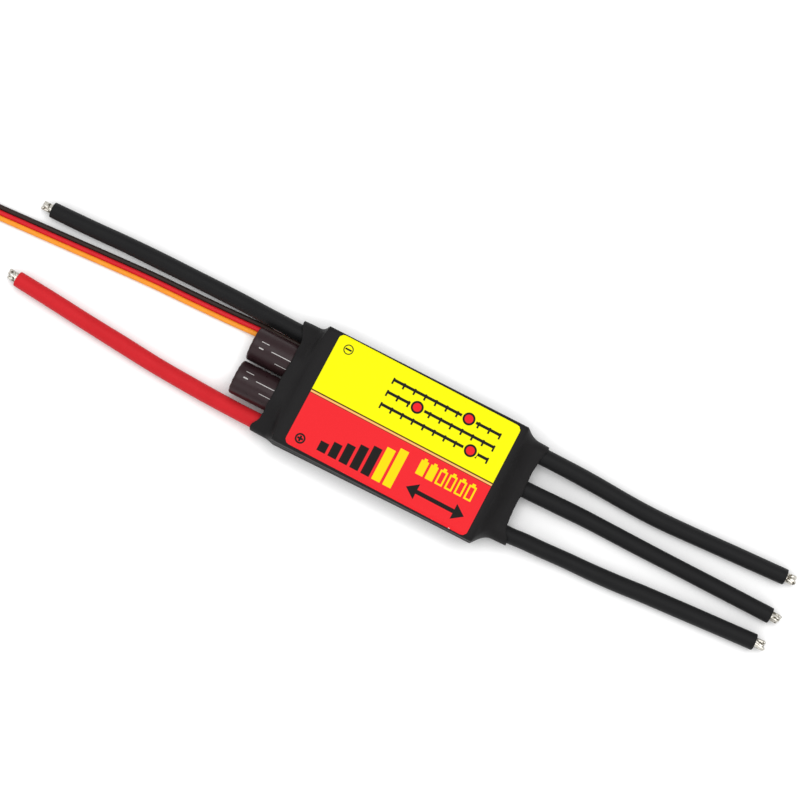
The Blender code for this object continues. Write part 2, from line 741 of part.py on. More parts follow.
def capacitor(number, looks):
    """A radial capacitor on its side: jacket, can with a scored vent, bung and two legs."""
    base = group(f"capacitor_{number}")
    base.location = (cap_inner_x - CAP_LENGTH, cap_y[number], cap_z)
    name = f"capacitor_{number}"
    lip = cap_radius - JACKET_LIP
    inside = cap_radius - JACKET_WALL
    turn = CAN_EDGE * (1 - math.sqrt(0.5))
    jacket = [
        (0.0, lip),
        (0.0, cap_radius - CAN_EDGE),
        (turn, cap_radius - turn),
        (CAN_EDGE, cap_radius),
        (CAP_LENGTH, cap_radius),
        (CAP_LENGTH, lip),
        (CAP_LENGTH - JACKET_WALL, lip),
        (CAP_LENGTH - JACKET_WALL, inside),
        (CAN_EDGE, inside),
        (JACKET_WALL + turn, inside - turn),
        (JACKET_WALL, inside - CAN_EDGE),
        (JACKET_WALL, lip),
        (0.0, lip),
    ]
    add_part(f"{name}_jacket", turned(jacket, CAN_SEGMENTS), looks["jacket"], base)

    front = JACKET_WALL + SKIN_GAP
    back = CAP_LENGTH - JACKET_WALL - SKIN_GAP
    radius = inside - SKIN_GAP
    mouth = radius - CAN_WALL
    can = [
        (front, 0.0),
        (front, radius - CAN_EDGE),
        (front + turn, radius - turn),
        (front + CAN_EDGE, radius),
        (back, radius),
        (back, mouth),
        (back - BUNG_THICKNESS - SKIN_GAP, mouth),
        (back - BUNG_THICKNESS - SKIN_GAP, 0.0),
    ]
    can_part = add_part(f"{name}_can", turned(can, CAN_SEGMENTS), looks["aluminium"], base)
    arm = lip - VENT_MARGIN
    half = VENT_WIDTH / 2
    cross = []
    for dx, dy in ((1, 0), (0, 1), (-1, 0), (0, -1)):
        cross.append((dx * arm + dy * half, dy * arm - dx * half))
        cross.append((dx * arm - dy * half, dy * arm + dx * half))
        cross.append(((dx - dy) * half, (dx + dy) * half))
    vent = prism(cross, 2 * VENT_DEPTH)
    along_x = Vector((0.0, 0.0, 1.0)).rotation_difference((1.0, 0.0, 0.0)).to_matrix()
    bmesh.ops.rotate(vent, verts=vent.verts, matrix=along_x)
    cut(can_part, add_cutter(f"{name}_vent", vent, base, (front - VENT_DEPTH, 0.0, 0.0)))

    bung_radius = mouth - SKIN_GAP
    bung_back = back - BUNG_THICKNESS
    disc = [(bung_back, 0.0), (bung_back, bung_radius), (back, bung_radius), (back, 0.0)]
    bung = add_part(f"{name}_bung", turned(disc, CAN_SEGMENTS), looks["rubber"], base)
    leg_holes = bmesh.new()
    leg_radius = LEG_DIAMETER / 2
    for side in (1, -1):
        ring = []
        for index in range(LEG_HOLE_SIDES):
            angle = (index + 0.5) * math.tau / LEG_HOLE_SIDES
            dy = (leg_radius + 2 * SKIN_GAP) * math.cos(angle)
            dz = (leg_radius + 2 * SKIN_GAP) * math.sin(angle)
            ring.append(leg_holes.verts.new((bung_back - SEAT_GAP, side * LEG_PITCH / 2 + dy, dz)))
        raised = bmesh.ops.extrude_face_region(leg_holes, geom=[leg_holes.faces.new(ring)])["geom"]
        far = [item for item in raised if isinstance(item, bmesh.types.BMVert)]
        bmesh.ops.translate(leg_holes, verts=far, vec=(BUNG_THICKNESS + 2 * SEAT_GAP, 0.0, 0.0))
    cut(bung, add_cutter(f"{name}_leg_holes", leg_holes, base))

    # Each leg leaves the bung and is bent down under the edge of the power board
    drop = power_bottom - SEAT_GAP - leg_radius - cap_z
    to_board = CAP_LENGTH + CAP_STANDOFF
    for sign, side in (("plus", 1), ("minus", -1)):
        y = side * LEG_PITCH / 2
        bend = [
            (bung_back, y, 0.0),
            (CAP_LENGTH, y, 0.0),
            *((CAP_LENGTH + CAP_STANDOFF * out, y, drop * down) for out, down in LEG_BEND),
            (to_board, y, drop),
            (to_board + LEG_TAIL, y, drop),
        ]
        tube(f"{name}_leg_{sign}", bend, leg_radius, looks["tin"], base, resolution=2)


def lead_line(name):
    """Middle of a lead from the edge of the board to the end of its insulation."""
    side = 1 if name.startswith("motor") else -1
    rest = lead_radius + SKIN_GAP
    points = []
    for out, share in LEAD_SINK[:2]:
        points.append((side * (block_end + out), lead_y[name], rest + (lead_z - rest) * share))
    for out, sideways in LEAD_ROUTES[name]:
        before = [step for step in LEAD_SINK if step[0] <= out][-1]
        after = ([step for step in LEAD_SINK if step[0] > out] or [before])[0]
        part_way = (out - before[0]) / (after[0] - before[0]) if after != before else 0.0
        share = before[1] + (after[1] - before[1]) * smoothstep(part_way)
        points.append((side * (block_end + out), lead_y[name] + sideways, rest + (lead_z - rest) * share))
    points.insert(0, (side * (board_end + SEAT_GAP), lead_y[name], lead_z))
    return smooth_line(points, LEAD_POINT_SPACING), side


def power_leads(looks):
    """Insulated leads with a stranded core that is soldered under the board and bare at the far end."""
    leads = group("leads")
    for name in LEAD_ROUTES:
        line, side = lead_line(name)
        surface = looks["red"] if name == "positive" else looks["black"]
        tube(f"lead_{name}_insulation", line, lead_radius, surface, leads, 3, INSULATION_WALL)
        soldered = line[0] - Vector((side * (SOLDER_TAIL + SEAT_GAP), 0.0, 0.0))
        heading = (line[-1] - line[-2]).normalized()
        tip = line[-1] + heading * TIP_LENGTH
        tube(f"lead_{name}_core", [soldered, *line, tip], CORE_DIAMETER / 2, looks["tin"], leads, 3)


def ribbon(middle, headings, twists, pitches, rises):
    """The three wires of the ribbon from its middle line.

    A twist of 0 lays the ribbon flat on the table, a quarter turn stands it on edge with the
    ground wire on top.
    """
    stations = list(zip(middle, headings, twists, pitches, rises, strict=True))
    wires = {}
    for wire, order in conductors.items():
        points = []
        for place, heading, twist, pitch, rise in stations:
            across = Vector((heading.y, -heading.x, 0.0)).normalized()
            offset = across * (order * pitch * math.cos(twist))
            offset.z = order * pitch * math.sin(twist) + rise
            points.append(Vector(place) + offset)
        wires[wire] = points
    return wires


def signal_stretch(looks, leads):
    """The stretch of the signal lead from the control board to the start of the hank."""
    pad_x = SIGNAL_PAD - control_end
    pad_z = control_top + SEAT_GAP + wire_radius
    rest = wire_radius + SKIN_GAP
    rim_x = -(block_end + BATTERY_SHOULDER + BATTERY_NECK)
    points = [
        (pad_x, wire_neck_y, pad_z),
        (-control_end - SIGNAL_PAD / 2, wire_neck_y, pad_z),
        (-board_end, wire_neck_y, wire_neck_z),
        (rim_x - BATTERY_LOBE, wire_neck_y, wire_neck_z),
    ]
    points += [(x, y, rest) for x, y in SIGNAL_ROUTE]
    middle = smooth_line(points, WIRE_POINT_SPACING)
    twist_length = TWIST_START_X - SIGNAL_ROUTE[-2][0]
    twists = [smoothstep((TWIST_START_X - point.x) / twist_length) * math.pi / 2 for point in middle]
    headings = [Vector((-1.0, 0.0, 0.0))] * len(middle)
    pitches = [WIRE_PITCH] * len(middle)
    rises = [WIRE_PITCH * math.sin(twist) for twist in twists]
    for wire, line in ribbon(middle, headings, twists, pitches, rises).items():
        tube(f"signal_{wire}_wire", line, wire_radius, looks[wire], leads)


def hank_line():
    """Middle line of the hank, as (x, y, twist, lift, pitch), from its entry to the plug.

    Runs lie side by side, drawn in at the waist where the tie goes, and turn back in round folds.
    The last fold leads into a loose tail that lies flat again and ends in the plug.
    """
    entry_x, entry_y = SIGNAL_ROUTE[-1]
    entry_x -= SEAT_GAP
    radius, step, half = HANK_FOLD_RADIUS, HANK_STEP, HANK_HALF_RUN
    centre_x = entry_x - WIRE_DIAMETER - radius - half
    centre_y = entry_y - radius - step
    near = [step + radius, radius, -radius, -radius - step]
    far = [step / 2 + 2 * radius, step / 2, -step / 2, -step / 2 - 2 * radius]
    quarter = math.pi / 2
    places = [(x, entry_y, quarter, 0.0, WIRE_PITCH) for x in (entry_x, entry_x - WIRE_DIAMETER)]
    tied = TIE_WIDTH / 2 + SEAT_GAP
    beyond = [(half - tied) * share for share in HANK_STATIONS]
    stations = [tied + reach for reach in beyond] + [-tied - reach for reach in beyond[::-1]]
    for run in range(HANK_RUNS):
        waist = ((HANK_RUNS - 1) / 2 - run) * step
        outward = 1 if run % 2 == 0 else -1
        for station in stations:
            along = outward * station
            loose = abs(along) - tied
            end = near[run] if along > 0 else far[run]
            y = waist + (end - waist) * smoothstep(loose / (half - tied))
            lift = (TIE_THICKNESS + SEAT_GAP) * smoothstep(1 - loose / HANK_LIFT_REACH)
            places.append((centre_x + along, centre_y + y, quarter, lift, WIRE_PITCH))
        start = (far if run % 2 == 0 else near)[run]
        for index in range(1, HANK_FOLD_STEPS):
            angle = math.pi * index / HANK_FOLD_STEPS
            x = -outward * (half + radius * math.sin(angle))
            y = start - radius * (1 - math.cos(angle))
            places.append((centre_x + x, centre_y + y, quarter, 0.0, WIRE_PITCH))
    tail_y = centre_y + near[-1] - 2 * radius
    tail_x = centre_x + half
    for index in range(TAIL_TWIST_STEPS + 1):
        share = index / TAIL_TWIST_STEPS
        twist = quarter * (1 - smoothstep(share))
        places.append((tail_x - TAIL_TWIST * share, tail_y, twist, 0.0, WIRE_PITCH))
    plug_x = tail_x - TAIL_TWIST - TAIL_FAN
    plug_rise = PLUG_HEIGHT / 2 - wire_radius - SKIN_GAP
    for index in range(1, TAIL_FAN_STEPS + 1):
        out = index / TAIL_FAN_STEPS
        share = smoothstep(out)
        pitch = WIRE_PITCH + (PLUG_PITCH - WIRE_PITCH) * share
        places.append((plug_x + TAIL_FAN * (1 - out), tail_y, 0.0, plug_rise * share, pitch))
    end_x = plug_x - CAVITY_ENTRY + SEAT_GAP
    places.append((end_x, tail_y, 0.0, plug_rise, PLUG_PITCH))
    return places, Vector((centre_x, centre_y, 0.0)), Vector((plug_x, tail_y, 0.0))


def least_gap(points):
    """Least clear distance between parts of one tube that aren't neighbours along it."""
    spacing = WIRE_DIAMETER / 3
    dense = smooth_line(points, spacing)
    apart = round(3 * WIRE_DIAMETER / spacing)
    least = min(
        (dense[a] - dense[b]).length for a in range(len(dense)) for b in range(a + apart, len(dense))
    )
    return least - WIRE_DIAMETER


def signal_hank(looks, leads):
    """The put-away length of the signal lead, its tie and its plug."""
    places, centre, plug = hank_line()
    middle = [Vector((x, y, wire_radius + SKIN_GAP)) for x, y, *_ in places]
    last = len(middle) - 1
    headings = [(middle[min(i + 1, last)] - middle[max(i - 1, 0)]).normalized() for i in range(last + 1)]
    twists = [place[2] for place in places]
    rises = [place[3] + WIRE_PITCH * math.sin(place[2]) for place in places]
    pitches = [place[4] for place in places]
    wires = ribbon(middle, headings, twists, pitches, rises)
    for wire, line in wires.items():
        tube(f"signal_{wire}_hank", line, wire_radius, looks[wire], leads, 1)
    gap = min(least_gap(line) for line in wires.values())
    print(f"signal hank: least gap to itself {gap * 1000:.2f} mm")

    # The tie is a flat band round the waist of the hank
    bundle_width = (HANK_RUNS - 1) * HANK_STEP + WIRE_DIAMETER + 2 * SEAT_GAP
    bundle_height = 2 * WIRE_PITCH + WIRE_DIAMETER + SKIN_GAP + 2 * SEAT_GAP
    middle_z = TIE_THICKNESS + bundle_height / 2
    inner = rounded_outline(bundle_width, bundle_height, wire_radius)
    outer = rounded_outline(
        bundle_width + 2 * TIE_THICKNESS,
        bundle_height + 2 * TIE_THICKNESS,
        wire_radius + TIE_THICKNESS,
    )
    ends = (-TIE_WIDTH / 2, TIE_WIDTH / 2)
    bands = [[[(x, y, z) for y, z in outline] for x in ends] for outline in (outer, inner)]
    add_part("hank_tie", sleeve(*bands), looks["tie"], leads, (centre.x, centre.y, middle_z))
    signal_plug(looks, leads, plug)


def signal_plug(looks, leads, rear):
    """Three-way plug: a housing with a cavity and a latch window for each crimp terminal."""
    plug = group("plug")
    plug.parent = leads
    plug.location = rear
    width = 3 * PLUG_PITCH + 2 * SEAT_GAP
    half, chamfer = width / 2, PLUG_CHAMFER
    section = [
        (half, 0.0),
        (half, PLUG_HEIGHT - chamfer),
        (half - chamfer, PLUG_HEIGHT),
        (chamfer - half, PLUG_HEIGHT),
        (-half, PLUG_HEIGHT - chamfer),
        (-half, 0.0),
    ]
    housing = bmesh.new()
    face = housing.faces.new([housing.verts.new((0.0, y, z)) for y, z in section])
    raised = bmesh.ops.extrude_face_region(housing, geom=[face])["geom"]
    front = [item for item in raised if isinstance(item, bmesh.types.BMVert)]
    bmesh.ops.translate(housing, verts=front, vec=(-PLUG_LENGTH, 0.0, 0.0))
    body = add_part("plug_housing", housing, looks["housing"], plug)

    middle = PLUG_HEIGHT / 2
    terminal_length = PLUG_LENGTH - CAVITY_ENTRY - TERMINAL_SETBACK
    terminal_side = CAVITY_SIZE / 2 - SKIN_GAP
    for wire, order in conductors.items():
        y = order * PLUG_PITCH
        cavity = box(PLUG_LENGTH + 2 * SEAT_GAP, CAVITY_SIZE, CAVITY_SIZE)
        place = (-PLUG_LENGTH / 2, y, middle - CAVITY_SIZE / 2)
        cut(body, add_cutter(f"plug_cavity_{wire}", cavity, plug, place))
        window = box(WINDOW_LENGTH, WINDOW_WIDTH, PLUG_HEIGHT)
        place = (WINDOW_FROM_FRONT - PLUG_LENGTH, y, middle)
        cut(body, add_cutter(f"plug_window_{wire}", window, plug, place))
        ends = (-CAVITY_ENTRY, -CAVITY_ENTRY - terminal_length)
        bands = []
        for reach in (terminal_side, terminal_side - TERMINAL_WALL):
            square = [(-reach, -reach), (reach, -reach), (reach, reach), (-reach, reach)]
            bands.append([[(x, y + dy, middle + dz) for dy, dz in square] for x in ends])
        add_part(f"plug_terminal_{wire}", sleeve(*bands), looks["tin"], plug)


clear_scene()
looks = {
    "film": finish("black heat-shrink film", (0.017, 0.017, 0.018), 0.42),
    "label": finish("printed yellow and red sticker", (0.95, 0.80, 0.02), 0.35),
    "board": finish("dark green circuit board", (0.01, 0.06, 0.03), 0.45),
    "pad": finish("grey silicone thermal pad", (0.30, 0.33, 0.36), 0.80),
    "aluminium": finish("aluminium", (0.75, 0.76, 0.77), 0.35, 1.0),
    "moulding": finish("black moulding compound", (0.02, 0.02, 0.022), 0.55),
    "iron": finish("grey pressed iron powder", (0.06, 0.06, 0.065), 0.60),
    "header": finish("black header plastic", (0.015, 0.015, 0.015), 0.50),
    "jacket": finish("dark brown capacitor jacket", (0.022, 0.013, 0.014), 0.30),
    "rubber": finish("black rubber bung", (0.02, 0.02, 0.02), 0.80),
    "tin": finish("tinned copper", (0.72, 0.71, 0.68), 0.28, 1.0),
    "black": finish("black silicone insulation", (0.016, 0.016, 0.017), 0.55),
    "red": finish("red silicone insulation", (0.62, 0.012, 0.022), 0.50),
    "ground": finish("dark brown wire insulation", (0.035, 0.018, 0.013), 0.45),
    "power": finish("red wire insulation", (0.68, 0.015, 0.025), 0.42),
    "pulse": finish("orange wire insulation", (1.00, 0.32, 0.02), 0.42),
    "housing": finish("black plug housing", (0.015, 0.015, 0.016), 0.42),
    "tie": finish("black rubber tie", (0.020, 0.020, 0.021), 0.70),
}
board_stack(looks)
film_and_label(looks)
for cap_number in cap_y:
    capacitor(cap_number, looks)
power_leads(looks)
signal_lead = group("signal_lead")
signal_stretch(looks, signal_lead)
signal_hank(looks, signal_lead)
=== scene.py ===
import math

import bmesh
import bpy
import numpy as np
from mathutils import Matrix, Vector


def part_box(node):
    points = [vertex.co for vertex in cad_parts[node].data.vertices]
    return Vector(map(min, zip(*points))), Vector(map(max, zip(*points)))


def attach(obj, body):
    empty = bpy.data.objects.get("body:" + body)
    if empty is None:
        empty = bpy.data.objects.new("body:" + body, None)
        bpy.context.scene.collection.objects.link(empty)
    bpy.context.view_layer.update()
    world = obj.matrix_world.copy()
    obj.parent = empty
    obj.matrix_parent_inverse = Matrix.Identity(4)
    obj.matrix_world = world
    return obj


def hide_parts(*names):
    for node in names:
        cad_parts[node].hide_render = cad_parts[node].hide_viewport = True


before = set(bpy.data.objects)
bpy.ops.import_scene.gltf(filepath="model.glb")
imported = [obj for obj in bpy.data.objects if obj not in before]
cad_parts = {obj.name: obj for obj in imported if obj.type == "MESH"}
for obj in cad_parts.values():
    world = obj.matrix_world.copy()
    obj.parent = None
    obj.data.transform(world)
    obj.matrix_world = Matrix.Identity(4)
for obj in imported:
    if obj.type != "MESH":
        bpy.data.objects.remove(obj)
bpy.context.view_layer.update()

# Circuit boards
# Two glass-fibre boards with green solder mask over copper tracks. The control board lies at the
# bottom, the power board above it carries the thick leads, and pin headers join the two.


def add_node(tree, kind, inputs=None, output=0, **choices):
    """One node of a tree. Inputs are plain values or the outputs of other nodes."""
    made = tree.nodes.new(kind)
    for choice, value in choices.items():
        setattr(made, choice, value)
    for key, value in (inputs or {}).items():
        socket = made.inputs[key]
        if isinstance(value, bpy.types.NodeSocket):
            tree.links.new(value, socket)
        elif socket.type == "RGBA":
            socket.default_value = (*value[:3], 1.0)
        else:
            socket.default_value = value
    return made if output is None else made.outputs[output]


class Finish:
    """A surface finish: its shader and the nodes that feed it, with lengths in millimetres."""

    def __init__(self, name, settings):
        self.material = bpy.data.materials.new(name)
        self.material.use_nodes = True
        self.tree = self.material.node_tree
        self.shader = self.tree.nodes["Principled BSDF"]
        for key, value in settings.items():
            socket = self.shader.inputs[key]
            socket.default_value = (*value, 1.0) if socket.type == "RGBA" else value

    def node(self, kind, inputs=None, output=0, **choices):
        return add_node(self.tree, "ShaderNode" + kind, inputs, output, **choices)

    def feed(self, key, source):
        self.tree.links.new(source, self.shader.inputs[key])

    def spot(self):
        """The place on the piece."""
        place = self.node("TexCoord", output="Object")
        return self.node("VectorMath", {0: place, "Scale": 1000.0}, operation="SCALE")

    def wrap(self):
        """The place on a wrapped piece: millimetres along it and turns around it."""
        return self.node("UVMap", output="UV")

    def axes(self, spot):
        return self.node("SeparateXYZ", {0: spot}, None).outputs

    def math(self, operation, *terms, clamp=False):
        return self.node("Math", dict(enumerate(terms)), operation=operation, use_clamp=clamp)

    def noise(self, spot, scale, detail=2.0, stretch=None):
        if stretch:
            spot = self.node("VectorMath", {0: spot, 1: stretch}, operation="MULTIPLY")
        return self.node("TexNoise", {"Vector": spot, "Scale": scale, "Detail": detail}, "Fac")

    def ranged(self, amount, start, end, low, high):
        """An amount between start and end, brought to the range from low to high."""
        given, wanted = {"From Min": start, "From Max": end}, {"To Min": low, "To Max": high}
        return self.node("MapRange", {"Value": amount, **given, **wanted}, "Result")

    def blend(self, amount, first, second):
        return self.node("Mix", {0: amount, 6: first, 7: second}, 2, data_type="RGBA")

    def weighed(self, first, share, second, other_share):
        """Two amounts added up, each in its share."""
        first = self.math("MULTIPLY", first, share)
        return self.math("ADD", first, self.math("MULTIPLY", second, other_share))

    def tint(self, amount, dark, light):
        """Colour from dark to light by an amount."""
        self.feed("Base Color", self.blend(amount, dark, light))

    def roughen(self, amount, low, high):
        """Roughness from low to high, over the range that noise mostly keeps to."""
        self.feed("Roughness", self.ranged(amount, 0.3, 0.7, low, high))

    def relief(self, height, depth):
        """Fine surface relief of that depth."""
        self.feed("Normal", self.node("Bump", {"Height": height, "Distance": depth / 1000}))


def dress(finish, *names):
    """Give carried-over solids their finish."""
    for name in names:
        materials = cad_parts[name].data.materials
        materials.clear()
        materials.append(finish.material)


solder_mask = Finish("green solder mask", {"Roughness": 0.38, "Coat Weight": 0.3})
spot = solder_mask.spot()
tracks = solder_mask.node(
    "TexBrick", {"Vector": spot, "Scale": 0.42, "Mortar Size": 0.05, "Row Height": 0.5}, "Fac"
)
mottle = solder_mask.noise(spot, 0.8)
mask = solder_mask.blend(mottle, (0.006, 0.045, 0.020), (0.012, 0.075, 0.034))
solder_mask.tint(tracks, mask, (0.035, 0.16, 0.06))
solder_mask.relief(solder_mask.noise(spot, 9.0, 1.0), 0.01)
dress(solder_mask, "control_board", "power_board")

header_plastic = Finish("black header plastic with gilt pins", {})
spot = header_plastic.spot()
height = header_plastic.axes(spot)[2]
bare_pin = 0.25
bar_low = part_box("control_board")[1].z * 1000 + bare_pin
bar_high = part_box("power_board")[0].z * 1000 - bare_pin
below = header_plastic.math("LESS_THAN", height, bar_low)
above = header_plastic.math("GREATER_THAN", height, bar_high)
pins = header_plastic.math("ADD", below, above, clamp=True)
header_plastic.feed("Metallic", pins)
header_plastic.tint(pins, (0.012, 0.012, 0.013), (0.85, 0.60, 0.22))
wear = header_plastic.noise(spot, 4.0)
header_plastic.feed("Roughness", header_plastic.ranged(wear, 0, 1, 0.3, 0.6))
dress(header_plastic, "link_header_battery", "link_header_motor")

# Parts on the boards
# Power transistors under the cooling plate, gate drivers, processor and voltage regulator on the
# control board: moulded black packages, with a choke pressed from iron powder.


def grained(name, settings, scale, detail, dark, light, rough=None, depth=None, stretch=None):
    """A finish whose colour, roughness and relief all follow one noise."""
    made = Finish(name, settings)
    grain = made.noise(made.spot(), scale, detail, stretch)
    made.tint(grain, dark, light)
    if rough:
        made.roughen(grain, *rough)
    if depth:
        made.relief(grain, depth)
    return made


moulding = grained(
    "black moulding compound", {"Specular IOR Level": 0.35}, 14.0, 3.0,
    (0.012, 0.012, 0.013), (0.030, 0.030, 0.032), (0.48, 0.68), 0.006,
)
packages = ["microcontroller", "regulator", "diode"]
for phase in "abc":
    packages.append(f"gate_driver_{phase}")
    packages += [f"mosfet_{phase}_{row}_{copy}" for row in ("high", "low") for copy in "12"]
dress(moulding, *packages)

iron_powder = Finish("pressed iron powder", {"Specular IOR Level": 0.4})
flecks = iron_powder.node("TexVoronoi", {"Vector": iron_powder.spot(), "Scale": 5.0}, "Distance")
iron_powder.tint(flecks, (0.035, 0.035, 0.038), (0.10, 0.10, 0.105))
iron_powder.feed("Roughness", iron_powder.ranged(flecks, 0, 1, 0.45, 0.75))
iron_powder.relief(flecks, 0.02)
dress(iron_powder, "inductor")

# Thermal pad and cooling plate
# A soft grey silicone pad that carries heat off the transistors, and a plain rolled aluminium plate
# that lies on it and spreads the heat under the film.
pad_silicone = grained(
    "grey silicone pad", {"Roughness": 0.85}, 3.0, 4.0,
    (0.24, 0.27, 0.30), (0.36, 0.39, 0.42), depth=0.03,
)
dress(pad_silicone, "thermal_pad")

rolled_aluminium = grained(
    "rolled aluminium", {"Metallic": 1.0}, 1.0, 3.0,
    (0.66, 0.67, 0.68), (0.82, 0.83, 0.84), (0.26, 0.44), 0.004, (0.15, 6.0, 6.0),
)
dress(rolled_aluminium, "cooling_plate")

# Capacitors
# Two electrolytic cans lie on their sides at the battery end, soldered to the board's edge by their
# legs. Each drawn can has a scored vent, a rubber bung and a brown shrunk sleeve with silver print.


def meshed(shape, name, crease):
    """The mesh of a finished shape: smooth, but for the edges that are sharper than the crease."""
    mesh = bpy.data.meshes.new(name)
    shape.to_mesh(mesh)
    shape.free()
    mesh.shade_smooth()
    mesh.set_sharp_from_angle(angle=math.radians(crease))
    return mesh


def skin(name, rings, along, looped=False, crease=40):
    """A closed mesh over rings of points, with its wrap map of length along and turn around."""
    shape = bmesh.new()
    layer = shape.loops.layers.uv.new("wrap")
    rows = [[shape.verts.new(point) for point in ring] for ring in rings]
    sides = len(rows[0])
    spans = list(zip(rows[:-1], rows[1:], along[:-1], along[1:]))
    if looped:
        spans.append((rows[-1], rows[0], along[-1], along[0]))
    for near, far, start, end in spans:
        for side in range(sides):
            after = (side + 1) % sides
            face = shape.faces.new((near[side], near[after], far[after], far[side]))
            marks = ((start, side), (start, side + 1), (end, side + 1), (end, side))
            for corner, (u, v) in zip(face.loops, marks):
                corner[layer].uv = (u, v / sides)
    if not looped:
        shape.faces.new(rows[0])
        shape.faces.new(rows[-1])
    bmesh.ops.recalc_face_normals(shape, faces=shape.faces)
    return meshed(shape, name, crease)


def set_piece(name, mesh, finish, slot, *stands_for):
    """Put a finished mesh on the object, in the place of the solids that it stands for."""
    mesh.materials.clear()
    mesh.materials.append(finish.material)
    piece = bpy.data.objects.new(name, mesh)
    bpy.context.scene.collection.objects.link(piece)
    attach(piece, "root")
    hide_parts(*stands_for)
    return piece


drawn_aluminium = grained(
    "drawn aluminium can", {"Metallic": 1.0}, 1.0, 3.0,
    (0.70, 0.71, 0.72), (0.86, 0.86, 0.87), (0.18, 0.34), 0.003, (0.3, 5.0, 5.0),
)
bung_rubber = grained(
    "black bung rubber", {"Roughness": 0.8}, 5.0, 4.0,
    (0.012, 0.012, 0.012), (0.04, 0.04, 0.04), depth=0.01,
)
leg_tin = grained(
    "tinned capacitor leg", {"Metallic": 1.0}, 4.0, 3.0,
    (0.60, 0.59, 0.56), (0.80, 0.79, 0.76), (0.2, 0.4),
)


def outside(finish, value, middle, half):
    """How far a value lies outside a stretch about its middle."""
    from_middle = finish.math("ABSOLUTE", finish.math("SUBTRACT", value, middle))
    return finish.math("SUBTRACT", from_middle, half)


def inked(finish, under, shape, ink, edge):
    """A print with ink laid over it inside a shape, with a soft edge of that width."""
    cover = finish.math("MULTIPLY_ADD", shape, -1 / edge, 0.5, clamp=True)
    return finish.blend(cover, under, ink)


sleeve_print = Finish("brown sleeve with silver print", {"IOR": 1.52, "Specular IOR Level": 0.17})
spot = sleeve_print.wrap()
along_sleeve, around_sleeve, _ = sleeve_print.axes(spot)
sleeve_diameter, print_edge = 10.3, 0.06
girth = math.pi * sleeve_diameter
around_sleeve = sleeve_print.math("MULTIPLY", around_sleeve, girth)
mottle = sleeve_print.noise(spot, 1.0, 4.0, (0.5, 20.0, 1.0))
brown = sleeve_print.blend(mottle, (0.019, 0.0088, 0.0102), (0.030, 0.0138, 0.0160))
# Each mark: its ends along the sleeve, its turn around it, its width and its ink
stripe_ink, minus_ink, silver_ink = (0.10, 0.085, 0.085), (0.016, 0.010, 0.011), (0.55, 0.53, 0.52)
for start, end, turn, width, ink in (
    (2.2, 15.0, 0.22, 3.0, stripe_ink),
    (4.0, 5.8, 0.22, 0.8, minus_ink),
    (7.6, 9.4, 0.22, 0.8, minus_ink),
    (11.2, 13.0, 0.22, 0.8, minus_ink),
    (6.4, 12.6, 0.515, 0.22, silver_ink),
    (8.6, 12.2, 0.60, 0.18, silver_ink),
    (2.6, 4.0, 0.53, 0.34, silver_ink),
    (2.6, 5.0, 0.47, 0.20, silver_ink),
):
    lengthways = outside(sleeve_print, along_sleeve, (start + end) / 2, (end - start) / 2)
    sideways = outside(sleeve_print, around_sleeve, turn * girth, width / 2)
    mark = sleeve_print.math("MAXIMUM", lengthways, sideways)
    brown = inked(sleeve_print, brown, mark, ink, print_edge)
sleeve_print.feed("Base Color", brown)
sleeve_print.roughen(mottle, 0.26, 0.40)
sleeve_print.relief(mottle, 0.02)

sleeve_lip, sleeve_wall = 0.0012, 0.0002
can_edge, inner_edge = 0.0007, 0.0003
bead_back, bead_width, bead_depth = 0.0028, 0.0006, 0.00028
mouth_pucker, mouth_reach = 0.00004, 0.0003
roll_back, roll_drop = 0.0008, 0.0010
sleeve_sides = 96
sleeve_angles = np.arange(sleeve_sides) / sleeve_sides * math.tau - math.pi / 2
pucker = mouth_pucker * np.sin(14 * sleeve_angles + 3 * np.sin(sleeve_angles))
for number, turn in (("1", 0.0), ("2", 0.04)):
    low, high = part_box(f"capacitor_{number}_jacket")
    axis_y, axis_z = (low.y + high.y) / 2, (low.z + high.z) / 2
    radius = (high.z - low.z) / 2
    length = high.x - low.x
    # The outside, from the rolled-in mouth over the can's edge and past the beaded groove
    profile = [(0.0, radius - sleeve_lip)]
    for step in range(8, -1, -1):
        angle = step / 8 * math.pi / 2
        drop = can_edge * (1 - math.cos(angle))
        profile.append((can_edge * (1 - math.sin(angle)), radius - drop))
    for step in range(1, 40):
        x = can_edge + (length - can_edge - inner_edge) * step / 39
        bead = bead_depth * math.exp(-(((x - length + bead_back) / bead_width) ** 2))
        profile.append((x, radius - bead))
    profile += [(length, radius - inner_edge), (length, radius - sleeve_lip)]
    # The inside, back along the can to the mouth
    profile += [
        (length - sleeve_wall, radius - sleeve_lip),
        (length - sleeve_wall, radius - can_edge),
        (roll_back, radius - can_edge),
        (sleeve_wall, radius - roll_drop),
        (sleeve_wall, radius - sleeve_lip),
    ]
    rings = []
    for x, reach in profile:
        ring_x = low.x + x + pucker * (x < mouth_reach)
        ring_y = axis_y + reach * np.cos(sleeve_angles)
        rings.append(np.column_stack([ring_x, ring_y, axis_z + reach * np.sin(sleeve_angles)]))
    along = [x * 1000 for x, _ in profile]
    jacket = skin(f"capacitor_{number}_sleeve", rings, along, looped=True, crease=50)
    for corner in jacket.uv_layers["wrap"].data:
        corner.uv = (corner.uv.x, corner.uv.y + turn)
    set_piece(
        f"capacitor_{number}_sleeve", jacket, sleeve_print, "jacket", f"capacitor_{number}_jacket"
    )
    dress(drawn_aluminium, f"capacitor_{number}_can")
    dress(bung_rubber, f"capacitor_{number}_bung")
    dress(leg_tin, f"capacitor_{number}_leg_plus", f"capacitor_{number}_leg_minus")

# Battery and motor leads
# Five lengths of finely stranded copper in soft extruded silicone, soldered under the power board's
# edge. Each sinks from the board to the table and ends in a stripped, twisted and tinned tip.


